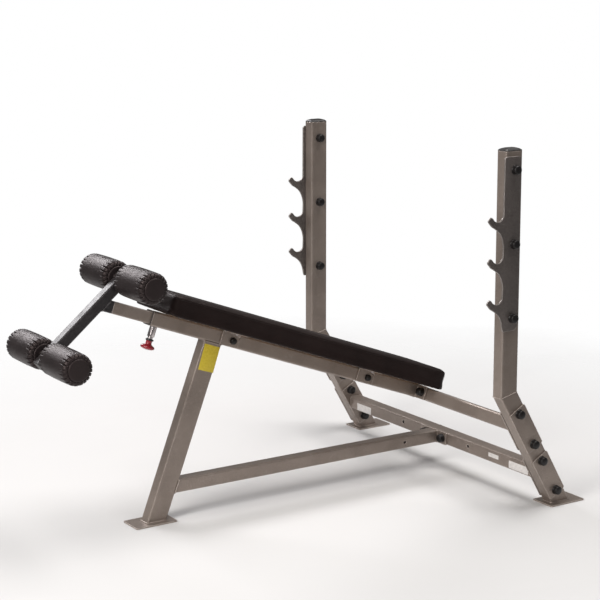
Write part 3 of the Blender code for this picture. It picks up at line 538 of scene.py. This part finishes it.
# ------------------------------------------------------------------- welds
def weld(name, pts, body, radius=0.0024, slot="frame_paint", closed=True):
    """Rippled fillet bead along a line of points."""
    pts = [Vector(p) for p in pts]
    if closed:
        pts.append(pts[0])
    seg = [(b - a).length for a, b in zip(pts, pts[1:])]
    total = sum(seg)
    n = max(12, int(total / 0.0013))
    path = []
    i, acc = 0, 0.0
    for k in range(n if closed else n + 1):
        d = total * k / n
        while i < len(seg) - 1 and acc + seg[i] < d:
            acc += seg[i]
            i += 1
        path.append(pts[i].lerp(pts[i + 1], min(1.0, (d - acc) / max(seg[i], 1e-9))))
    rings, m = [], len(path)
    bm = bmesh.new()
    for k, c in enumerate(path):
        a = path[(k - 1) % m] if closed or k else path[k]
        b = path[(k + 1) % m] if closed or k < m - 1 else path[k]
        t = (b - a).normalized()
        u = t.cross(Vector((0.31, 0.77, 0.55))).normalized()
        v = t.cross(u)
        d = total * k / n
        r = radius * (1 + 0.16 * abs(math.sin(math.pi * d / 0.0042)) + 0.07 * math.sin(d * 171.0))
        rings.append([bm.verts.new(c + (u * math.cos(2 * math.pi * j / 8) + v * math.sin(2 * math.pi * j / 8)) * r)
                      for j in range(8)])
    pairs = list(zip(rings, rings[1:])) + ([(rings[-1], rings[0])] if closed else [])
    for a, b in pairs:
        best = min(range(8), key=lambda o: sum((a[j].co - b[(j + o) % 8].co).length for j in range(8)))
        for j in range(8):
            bm.faces.new((a[j], a[(j + 1) % 8], b[(j + 1 + best) % 8], b[(j + best) % 8]))
    if not closed:
        bm.faces.new(rings[0])
        bm.faces.new(rings[-1])
    piece("weld_" + name, bm, slot, body, smooth=60)


for side, sign in (("left", -1), ("right", 1)):
    y = sign * UP_Y
    sec = rounded_rect(UP_DEPTH, UP_WIDTH, CORNER)
    k = math.tan(LEG_TILT / 2)
    weld("mitre_" + side, [W((UP_DEPTH / 2 + a, y + b, KINK_Z + (UP_DEPTH / 2 + a) * k)) for a, b in sec],
         "frame", 0.0014)
    ring = []
    for a, b in sec:
        base = Vector((0, y, KINK_Z)) + LEG_ACROSS * (UP_DEPTH / 2 + a) + YDIR * b
        t = (FOOT_T - base.z) / LEG_DIR.z
        ring.append(W(base + LEG_DIR * t))
    weld("foot_" + side, ring, "frame", 0.0030)
    ye = sign * (CROSS_END - PLATE_T)
    c = Vector(((LOWER_CROSS_X[0] + LOWER_CROSS_X[1]) / 2, ye, sum(BASE_Z) / 2))
    weld("lower_end_" + side, [W(c + Vector((a, 0, b))) for a, b in
                               rounded_rect(LOWER_CROSS_X[1] - LOWER_CROSS_X[0], BASE_Z[1] - BASE_Z[0], CORNER)], "frame")
    weld("upper_end_" + side, [rail(sum(UPPER_CROSS_S) / 2 + a, ye, UPPER_CROSS_H / 2 + b) for a, b in
                               rounded_rect(UPPER_CROSS_S[1] - UPPER_CROSS_S[0], UPPER_CROSS_H, CORNER)], "frame")

sec = rounded_rect(0.075, 0.050, CORNER)
ring, top = [], []
for a, b in sec:
    p = Vector((FRONT_LEG_X, 0, 0)) + FL_ACROSS * a + YDIR * b
    ring.append(W(p + FL_UP * ((FOOT_T - p.z) / FL_UP.z)))
    q = Vector((0, 0, RAIL_Z0))
    top.append(W(p + FL_UP * ((q - p).dot(RAIL_UP) / FL_UP.dot(RAIL_UP)) - RAIL_UP * 0.0006))
weld("front_foot", ring, "frame", 0.0030)
weld("front_top", top, "frame", 0.0022)
ring = []
face = Vector((FRONT_LEG_X, 0, 0)) + FL_ACROSS * 0.0375
for a, b in rounded_rect(0.050, 0.050, CORNER):
    p = Vector((0, a, sum(BASE_Z) / 2 + b))
    x = face.x - (p.z - face.z) * FL_ACROSS.z / FL_ACROSS.x
    ring.append(W((x + 0.0006, a, p.z)))
weld("base_front", ring, "frame")
weld("base_flange", [W((LOWER_CROSS_X[0] - GAP - FLANGE_T, a, sum(BASE_Z) / 2 + b)) for a, b in
                     rounded_rect(0.050, 0.050, CORNER)], "frame", 0.0020)
weld("rail_flange", [rail(UPPER_CROSS_S[0] - GAP - FLANGE_T, a, RAIL_H / 2 + b) for a, b in
                     rounded_rect(RAIL_W, RAIL_H, CORNER)], "frame", 0.0020)
ring = []
for a, b in rounded_rect(TUBE_W, TUBE_H, 0.004):
    p = Vector(((TUBE_FRONT) * COS_D + (TUBE_N + b) * SIN_D, a, RAIL_Z0 - TUBE_FRONT * SIN_D + (TUBE_N + b) * COS_D))
    q = ARM_TOP + ARM_N * (ARM_SIDE / 2)
    t = (q - p).dot(ARM_N) / RAIL_DIR.dot(ARM_N)
    ring.append(W(p + RAIL_DIR * t))
weld("arm_stub", ring, "hold_down", 0.0022, "black_paint")


# ----------------------------------------------------------------- rollers
def roller(name, t, sign):
    """Foam roller in a vinyl cover, gathered round a flat disc at each end."""
    R, y0, y1 = 0.0560, 0.0300, 0.2420
    seg, pleats = 288, 21
    prof = []          # (radius, distance, pleat strength)
    disc = 0.690 * R

    def end(y, d):
        """From the disc's middle out to the body; d points out of the roller."""
        e = [(0.62 * disc, y - d * 0.0000, 0.0), (0.86 * disc, y, 0.0), (0.955 * disc, y - d * 0.0006, 0.0),
             (disc, y - d * 0.0024, 0.0), (disc * 1.004, y - d * 0.0050, 0.15)]
        for k in range(0, 13):
            a = math.pi / 2 * k / 12
            rr = disc * 1.004 + (R - disc * 1.004) * math.sin(a) ** 0.80
            yy = y - d * (0.0040 + 0.0170 * (1 - math.cos(a)))
            e.append((rr, yy, 0.30 + 0.70 * math.sin(math.pi * min(1.0, 0.10 + 0.62 * k / 12))))
        return e
    inner = end(y0, -1)
    outer = end(y1, 1)
    body = []
    for k in range(1, 48):
        f = k / 48
        swell = 0.0011 * math.sin(math.pi * f)
        fade = 0.80 * (math.exp(-(f / 0.070) ** 1.6) + math.exp(-((1 - f) / 0.070) ** 1.6))
        body.append((R + swell, inner[-1][1] + (outer[-1][1] - inner[-1][1]) * f, fade))
    prof = ([(0, AXLE_HALF + 0.0020, 0), (ROLLER_BORE, AXLE_HALF + 0.0020, 0), (ROLLER_BORE, y0 + 0.002, 0),
             (ROLLER_BORE + 0.0012, y0 + 0.0004, 0)] + inner + body + outer[::-1] + [(0.3 * disc, y1 + 0.0003, 0), (0, y1 + 0.0004, 0)])
    c = arm(t)
    ph = 0.7 * AXLE_T.index(t) + (0.4 if sign > 0 else 0.0)
    bm = bmesh.new()
    rings = []
    for r, y, s in prof:
        if r == 0:
            rings.append([bm.verts.new(c + YDIR * (sign * y))])
            continue
        ring = []
        for k in range(seg):
            a = 2 * math.pi * k / seg
            wob = 0.35 * math.sin(3 * a + ph) + 0.25 * math.sin(7 * a + 2 * ph)
            w = math.cos(pleats * a + wob)
            groove = -0.0092 * s * max(0.0, w) ** 5
            groove *= 0.80 + 0.20 * math.sin(5 * a + ph * 3)
            rr = r + groove + 0.00035 * math.sin(2 * a + ph) * min(1, r / R)
            ring.append(bm.verts.new(c + Vector((math.cos(a) * rr, sign * (y - 0.18 * groove * 0), math.sin(a) * rr))))
        rings.append(ring)
    for a, b in zip(rings, rings[1:]):
        for i in range(seg):
            j = (i + 1) % seg
            if len(a) == 1:
                bm.faces.new((a[0], b[j], b[i]))
            elif len(b) == 1:
                bm.faces.new((a[i], a[j], b[0]))
            else:
                bm.faces.new((a[i], a[j], b[j], b[i]))
    ob = piece("foam_" + name, bm, "roller_vinyl", name, (name,), smooth=180)
    return ob


for ud, t in (("upper", AXLE_T[0]), ("lower", AXLE_T[1])):
    for side, sign in (("left", -1), ("right", 1)):
        roller("roller_%s_%s" % (ud, side), t, sign)
    bm = bmesh.new()
    lathe(bm, [(0, -AXLE_HALF), (AXLE_R - 0.001, -AXLE_HALF), (AXLE_R, -AXLE_HALF + 0.001),
               (AXLE_R, AXLE_HALF - 0.001), (AXLE_R - 0.001, AXLE_HALF), (0, AXLE_HALF)], arm(t), YDIR, 56)
    piece("shaft_" + ud, bm, "plated_steel", "hold_down", ("axle_" + ud,))

# ---------------------------------------------------------------- pull pin
pin0 = rail(PIN_S, 0, 0)
bm = bmesh.new()
lathe(bm, [(0.0132, -GAP), (0.0132, -0.0370), (0.0129, -0.0377), (0.0124, -0.0380), (0.0098, -0.0380),
           (0.0098, -0.0300), (0.0042, -0.0300), (0.0042, -0.0280), (0.0072, -0.0280), (0.0072, -GAP)], pin0, RAIL_UP, 56)
piece("pin_barrel", bm, "plated_steel", "frame", ("pin_housing",))
bm = bmesh.new()
lathe(bm, [(0, 0.0044), (0.0034, 0.0044), (0.0044, 0.0038), (0.0050, 0.0028), (0.0050, -0.0072), (0.0066, -0.0072),
           (0.0066, -0.0092), (0.0034, -0.0092), (0.0034, -0.0365), (0.0089, -0.0365), (0.0094, -0.0370),
           (0.0094, -0.0457), (0.0089, -0.0462), (0.0034, -0.0462), (0.0034, -0.0700), (0, -0.0700)], pin0, RAIL_UP, 56)
piece("pin_plunger", bm, "plated_steel", "pull_pin", ("pull_pin",))
bm = bmesh.new()
lathe(bm, [(0.0038, -0.0465), (0.0135, -0.0465), (0.0143, -0.0472), (0.0146, -0.0485), (0.0146, -0.0508),
           (0.0142, -0.0520), (0.0134, -0.0525), (0.0038, -0.0525)], pin0, RAIL_UP, 56)
piece("pin_ring", bm, "black_plastic", "pull_pin", ("pin_collar",))
bm = bmesh.new()
lathe(bm, [(0.0038, -0.0528), (0.0112, -0.0528), (0.0119, -0.0534), (0.0112, -0.0566), (0.0108, -0.0600),
           (0.0111, -0.0628), (0.0127, -0.0658), (0.0162, -0.0681), (0.0205, -0.0700), (0.0240, -0.0720),
           (0.0257, -0.0745), (0.0259, -0.0770), (0.0250, -0.0797), (0.0229, -0.0818), (0.0178, -0.0838),
           (0.0119, -0.0852), (0.0059, -0.0860), (0, -0.0862), (0, -0.0705), (0.0038, -0.0705)], pin0, RAIL_UP, 64)
piece("pin_grip", bm, "red_plastic", "pull_pin", ("pin_knob",))

# compression spring: its lower coil stands on the barrel's floor and its upper coil sits just under the plunger's
# shoulder
COIL_R, WIRE_R, COIL_LOW, COIL_HIGH, COIL_TURNS = 0.0053, 0.0006, -0.0271, -0.0101, 6
bm = bmesh.new()
STEPS = COIL_TURNS * 28
loops = []
for k in range(STEPS + 1):
    a = 2 * math.pi * k / 28
    radial = RAIL_DIR * math.cos(a) + YDIR * math.sin(a)
    c = Vector(pin0) + radial * COIL_R + RAIL_UP * (COIL_LOW + (COIL_HIGH - COIL_LOW) * k / STEPS)
    loops.append([bm.verts.new(c + (radial * math.cos(2 * math.pi * j / 10)
                                    + RAIL_UP * math.sin(2 * math.pi * j / 10)) * WIRE_R) for j in range(10)])
for a, b in zip(loops, loops[1:]):
    for j in range(10):
        i = (j + 1) % 10
        bm.faces.new((a[j], a[i], b[i], b[j]))
bm.faces.new(loops[0])
bm.faces.new(list(reversed(loops[-1])))
bmesh.ops.recalc_face_normals(bm, faces=bm.faces)
me = bpy.data.meshes.new("pin_coil")
bm.to_mesh(me)
bm.free()
me.materials.append(MAT["plated_steel"])
coil = bpy.data.objects.new("pin_coil", me)
COLL.objects.link(coil)
me.shade_smooth()
me.set_sharp_from_angle(angle=math.radians(60))
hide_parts("pin_spring")
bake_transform(coil)


# --------------------------------------------------------------------- pad
def rings_solid(bm, rings, to3, n=8):
    """Solid of stacked rounded rectangles: (inset, n, corner radius)."""
    length, mid = PAD_S[1] - PAD_S[0], sum(PAD_S) / 2
    loops = []
    for inset, h, r in rings:
        loops.append([bm.verts.new(to3(mid + a, b, h)) for a, b in
                      rounded_rect(length - 2 * inset, 2 * (PAD_HALF_Y - inset), max(r, 0.004), n)])
    for a, b in zip(loops, loops[1:]):
        for i in range(len(a)):
            j = (i + 1) % len(a)
            bm.faces.new((a[i], a[j], b[j], b[i]))
    bm.faces.new(loops[0])
    bm.faces.new(loops[-1])
    return bm


def make_pad():
    local = lambda s, y, n: Vector((s, y, n))
    bottom, seam, crown = PAD_N[0] - 0.0006, 0.1235, PAD_N[1]
    bm = rings_solid(bmesh.new(), [(0.0045, bottom, 0.026), (0.0016, bottom + 0.0020, 0.029), (0.0006, bottom + 0.007, 0.030),
                                   (0.0010, 0.090, 0.030), (0.0006, 0.112, 0.030), (0.0004, seam - 0.002, 0.030),
                                   (0.0030, seam + 0.0030, 0.028), (0.0075, seam + 0.0060, 0.026), (0.0150, seam + 0.0078, 0.022),
                                   (0.0320, seam + 0.0088, 0.016), (0.0700, seam + 0.0094, 0.010)], local)
    bmesh.ops.recalc_face_normals(bm, faces=bm.faces)
    me = bpy.data.meshes.new("pad")
    bm.to_mesh(me)
    bm.free()
    ob = bpy.data.objects.new("pad_work", me)
    COLL.objects.link(ob)
    mod = ob.modifiers.new("r", 'REMESH')
    mod.mode = 'VOXEL'
    mod.voxel_size = 0.0060
    applied(ob)
    mod = ob.modifiers.new("s", 'SMOOTH')
    mod.factor, mod.iterations = 0.5, 3
    applied(ob)
    count = len(ob.data.vertices)
    rest = np.zeros(count * 3)
    ob.data.vertices.foreach_get("co", rest)
    rest = rest.reshape(-1, 3)
    cl = ob.modifiers.new("Cloth", 'CLOTH')
    st = cl.settings
    st.quality = 5
    st.mass = 0.3
    st.tension_stiffness = st.compression_stiffness = 18
    st.shear_stiffness = 8
    st.bending_stiffness = 1.2
    st.use_pressure = True
    st.uniform_pressure_force = 4
    st.effector_weights.gravity = 0
    for f in range(1, 21):
        SCENE.frame_set(f)
    applied(ob)
    SCENE.frame_set(1)
    co = np.zeros(count * 3)
    ob.data.vertices.foreach_get("co", co)
    move = co.reshape(-1, 3) - rest
    size = np.linalg.norm(move, axis=1)
    up = np.clip((rest[:, 2] - (bottom + 0.004)) / 0.03, 0, 1)
    cap = 0.0048 * up * up * (3 - 2 * up) + 1e-9
    move *= (np.minimum(size, cap) / np.maximum(size, 1e-9))[:, None]
    move[:, 2] = np.minimum(move[:, 2], 0.0034)
    co = rest + move
    # sewn joint between the top panel and the boxing, and slack near the corners
    mid = sum(PAD_S) / 2
    hx, hy = (PAD_S[1] - PAD_S[0]) / 2, PAD_HALF_Y
    out = np.maximum(np.abs(co[:, 0] - mid) - hx, np.abs(co[:, 1]) - hy)      # ~0 on the sides, negative inside
    rim = np.exp(-(np.minimum(out, 0) / 0.010) ** 2)
    line = np.exp(-((co[:, 2] - (seam + 0.0008)) / 0.0032) ** 2) * rim
    a = np.stack([np.sign(co[:, 0] - mid) * (np.abs(co[:, 0] - mid) > hx - 0.032),
                  np.sign(co[:, 1]) * (np.abs(co[:, 1]) > hy - 0.032)], 1)
    ln = np.maximum(np.linalg.norm(a, axis=1), 1e-9)
    a = a / ln[:, None]
    co[:, :2] -= a * (0.0013 * line)[:, None]
    near = np.clip(1 - (hx - np.abs(co[:, 0] - mid)) / 0.09, 0, 1) * np.clip(1 - (hy - np.abs(co[:, 1])) / 0.09, 0, 1)
    ang = np.arctan2(co[:, 1], co[:, 0] - mid - np.sign(co[:, 0] - mid) * (hx - 0.05))
    fold = near * np.clip((seam - co[:, 2]) / 0.05, 0, 1) * np.sin(ang * 34) * 0.0006
    co[:, :2] += a * fold[:, None]
    ob.data.vertices.foreach_set("co", co.ravel())
    mod = ob.modifiers.new("sub", 'SUBSURF')
    mod.levels = mod.render_levels = 1
    applied(ob)

    # room for the board, and the cut edge of the cover under it
    def tool(rings, wave=0.0):
        t = rings_solid(bmesh.new(), rings, local, 10)
        if wave:
            for v in t.verts:
                v.co.y += wave * math.sin(v.co.x * 61) * (1 if v.co.y > 0 else -1)
        bmesh.ops.recalc_face_normals(t, faces=t.faces)
        m = bpy.data.meshes.new("t")
        t.to_mesh(m)
        t.free()
        o = bpy.data.objects.new("t", m)
        COLL.objects.link(o)
        return o
    b0 = PAD_N[0] + GAP
    for rings in ([(0.0060, b0 - 0.0001, 0.024), (0.0060, b0 + BOARD_T + 0.0003, 0.024)],
                  [(0.0300, bottom - 0.01, 0.010), (0.0300, b0 + 0.004, 0.010)]):
        t = tool(rings)
        mod = ob.modifiers.new("b", 'BOOLEAN')
        mod.operation, mod.object, mod.solver = 'DIFFERENCE', t, 'MANIFOLD'
        applied(ob)
        bpy.data.objects.remove(t, do_unlink=True)
    me = ob.data.copy()
    m4 = Matrix((RAIL_DIR, YDIR, RAIL_UP)).transposed().to_4x4()
    m4.translation = W((0, 0, RAIL_Z0))
    me.transform(m4)
    bpy.data.objects.remove(ob, do_unlink=True)
    pad = piece_from("pad", me, "pad_vinyl", "frame", ("pad_cushion",), smooth=50)
    tree = BVHTree.FromObject(pad, bpy.context.evaluated_depsgraph_get())

    # piping in the sewn joint, with a row of stitches above and below it
    length = PAD_S[1] - PAD_S[0]
    loop = rounded_rect(length, 2 * PAD_HALF_Y, 0.030, 10)
    path = []
    for i in range(len(loop)):
        p, q = Vector(loop[i]), Vector(loop[(i + 1) % len(loop)])
        steps = max(1, int((q - p).length / 0.006))
        path += [p.lerp(q, k / steps) for k in range(steps)]

    def on_side(p, n):
        """Point of the cover straight in from p at height n, and the way out."""
        inner = Vector((max(-length / 2 + 0.06, min(length / 2 - 0.06, p.x)), max(-0.07, min(0.07, p.y))))
        way = (p - inner).normalized()
        o = rail(mid + inner.x + way.x * 0.3, inner.y + way.y * 0.3, n)
        w3 = (RAIL_DIR * way.x + YDIR * way.y)
        hit = tree.ray_cast(o, -w3)
        return (hit[0], w3) if hit[0] else (rail(mid + p.x, p.y, n), w3)

    pts = [on_side(p, seam + 0.0008) for p in path]
    bm = bmesh.new()
    rings = []
    for k, (c, w3) in enumerate(pts):
        rings.append([bm.verts.new(c - w3 * 0.0002 + (w3 * math.cos(2 * math.pi * j / 8) + RAIL_UP * math.sin(2 * math.pi * j / 8)) * 0.0011)
                      for j in range(8)])
    for a_, b_ in zip(rings, rings[1:] + rings[:1]):
        for j in range(8):
            bm.faces.new((a_[j], a_[(j + 1) % 8], b_[(j + 1) % 8], b_[j]))
    piece("pad_piping", bm, "pad_vinyl", "frame", smooth=180)

    bm = bmesh.new()
    for n in (seam - 0.0030, seam + 0.0042):
        for k in range(0, len(path) - 1):
            if k % 1 == 0:
                (c, w3), (d, _) = on_side(path[k], n), on_side(path[(k + 1) % len(path)], n)
                t = (d - c)
                if t.length < 1e-4 or t.length > 0.02:
                    continue
                t.normalize()
                side = t.cross(w3).normalized()
                m_ = c.lerp(d, 0.5)
                ends = []
                for e, r in ((-0.0019, 0.00018), (-0.0014, 0.00036), (0.0, 0.00044), (0.0014, 0.00036), (0.0019, 0.00018)):
                    ends.append([bm.verts.new(m_ + t * e + (w3 * math.cos(2 * math.pi * j / 5) + side * math.sin(2 * math.pi * j / 5)) * r)
                                 for j in range(5)])
                for a_, b_ in zip(ends, ends[1:]):
                    for j in range(5):
                        bm.faces.new((a_[j], a_[(j + 1) % 5], b_[(j + 1) % 5], b_[j]))
                bm.faces.new(ends[0])
                bm.faces.new(ends[-1])
    piece("pad_stitches", bm, "pad_vinyl", "frame", mat=THREAD, smooth=180)

    # staples that hold the cover to the board
    bm = bmesh.new()
    loop = rounded_rect(length - 2 * 0.021, 2 * (PAD_HALF_Y - 0.021), 0.016, 4)
    for i in range(len(loop)):
        p, q = Vector(loop[i]), Vector(loop[(i + 1) % len(loop)])
        d = (q - p)
        if d.length < 0.03:
            continue
        for k in range(int(d.length / 0.032)):
            c = p + d * ((k + 0.5) / int(d.length / 0.032))
            u = d.normalized()
            v = Vector((-u.y, u.x))
            h = PAD_N[0] - 0.0006
            vs = []
            for a_ in (-0.0055, 0.0055):
                for b_ in (-0.0005, 0.0005):
                    for z in (h - 0.0007, h + 0.0004):
                        e = c + u * a_ + v * b_
                        vs.append(bm.verts.new(rail(mid + e.x, e.y, z)))
            for f in ((0, 1, 3, 2), (4, 6, 7, 5), (0, 4, 5, 1), (2, 3, 7, 6), (0, 2, 6, 4), (1, 5, 7, 3)):
                bm.faces.new([vs[j] for j in f])
    piece("pad_staples", bm, "plated_steel", "frame")


def thread():
    k = Mat("thread", spec=0.3)
    tw = k.noise(1600, 2)
    return k.done(k.mix(k.rng(tw, 0.3, 0.7, 0, 1), (0.020, 0.018, 0.018), (0.055, 0.050, 0.050)),
                  k.rng(tw, 0.3, 0.7, 0.55, 0.75), k.bump(tw, 0.0001, 0.7))


THREAD = thread()
make_pad()


# ------------------------------------------------------------------ labels
def sticker(name, corners, out, mat, slot="frame_paint"):
    """Thin blank sticker lying on a face; corners go round it."""
    out = Vector(out).normalized()
    c = sum((Vector(p) for p in corners), Vector()) / len(corners)
    bm = bmesh.new()
    loops = []
    for lift, k in ((0.00002, 1.0), (0.00022, 1.0), (0.00030, 0.992)):
        loops.append([bm.verts.new(c + (Vector(p) - c) * k + out * lift) for p in corners])
    for a, b in zip(loops, loops[1:]):
        for i in range(len(a)):
            j = (i + 1) % len(a)
            bm.faces.new((a[i], a[j], b[j], b[i]))
    bm.faces.new(loops[0])
    bm.faces.new(loops[-1])
    piece(name, bm, slot, "frame", mat=mat)


YELLOW = label("label_yellow", (0.62, 0.47, 0.022), (0.72, 0.57, 0.050))
PALE = label("label_pale", (0.66, 0.63, 0.61), (0.78, 0.75, 0.73))
sticker("label_leg", [W((x, -0.0250, z)) for x, z in
                      ((-0.8671, 0.6366), (-0.8049, 0.6137), (-0.8353, 0.5230), (-0.8973, 0.5446))], (0, -1, 0), YELLOW)
for i, (ya, yb, za, zb) in enumerate(((0.440, 0.540, 0.101, 0.131), (-0.397, -0.337, 0.118, 0.134), (-0.569, -0.458, 0.103, 0.132))):
    x = LOWER_CROSS_X[0]
    sticker("label_cross_%d" % i, [W((x, ya, za)), W((x, yb, za)), W((x, yb, zb)), W((x, ya, zb))], (-1, 0, 0), PALE)


# ------------------------------------------------------- floor, world, light
def floor():
    """Pale sweep that runs out into the white surround."""
    k = Mat("floor", spec=0.1)
    col = k.mix(k.rng(k.noise(0.6, 3), 0.3, 0.7, 0, 1), (0.70, 0.70, 0.70), (0.73, 0.73, 0.73))
    m = k.done(col, k.rng(k.noise(40, 2), 0.3, 0.7, 0.85, 0.95))
    far = k.node("VectorMath", operation='LENGTH')
    k.link(k.co, far.inputs[0])
    grain = k.math('ADD', far.outputs["Value"], k.rng(k.noise(1.5, 2), 0.3, 0.7, -0.1, 0.1))
    k.link(k.rng(grain, 1.3, 3.2, 1.0, 0.0), k.p.inputs["Alpha"])
    bm = bmesh.new()
    bmesh.ops.create_circle(bm, cap_ends=True, segments=96, radius=3.6, matrix=Matrix.Translation((0, 0, -0.0004)))
    me = bpy.data.meshes.new("floor")
    bm.to_mesh(me)
    bm.free()
    me.materials.append(m)
    ob = bpy.data.objects.new("floor", me)
    COLL.objects.link(ob)


floor()
world = bpy.data.worlds.new("studio")
SCENE.world = world
world.use_nodes = True
wt = world.node_tree
back = wt.nodes["Background"]
back.inputs[0].default_value = (1.0, 0.985, 0.975, 1)
back.inputs[1].default_value = 0.20
white = wt.nodes.new("ShaderNodeBackground")
white.inputs[0].default_value = (1, 1, 1, 1)
white.inputs[1].default_value = 1.0
seen = wt.nodes.new("ShaderNodeLightPath")
both = wt.nodes.new("ShaderNodeMixShader")
wt.links.new(seen.outputs["Is Camera Ray"], both.inputs[0])
wt.links.new(back.outputs[0], both.inputs[1])
wt.links.new(white.outputs[0], both.inputs[2])
wt.links.new(both.outputs[0], wt.nodes["World Output"].inputs[0])
SCENE.view_settings.view_transform = 'Standard'


def area(name, loc, target, size, power, tint=(1, 1, 1)):
    li = bpy.data.lights.new(name, 'AREA')
    li.shape = 'RECTANGLE'
    li.size, li.size_y = size
    li.energy = power
    li.color = tint
    ob = bpy.data.objects.new(name, li)
    COLL.objects.link(ob)
    ob.location = loc
    ob.rotation_euler = (Vector(target) - Vector(loc)).to_track_quat('-Z', 'Y').to_euler()


area("key", (-5.2, -1.6, 3.6), (0, 0, 0.5), (2.0, 2.4), 235, (1.0, 0.97, 0.94))
area("edge", (-4.9, -3.2, 0.9), (0, 0, 0.6), (0.5, 1.3), 32, (1.0, 0.97, 0.94))
area("fill", (-1.8, -5.4, 1.8), (0, 0, 0.6), (1.8, 2.2), 6, (1.0, 0.96, 0.93))
area("rim", (-0.6, 4.6, 3.4), (-0.3, 0, 0.6), (3.2, 1.4), 135, (1.0, 0.98, 1.0))
area("top", (1.2, -0.4, 5.0), (0, 0, 0), (3.0, 3.0), 185, (1.0, 0.97, 0.95))
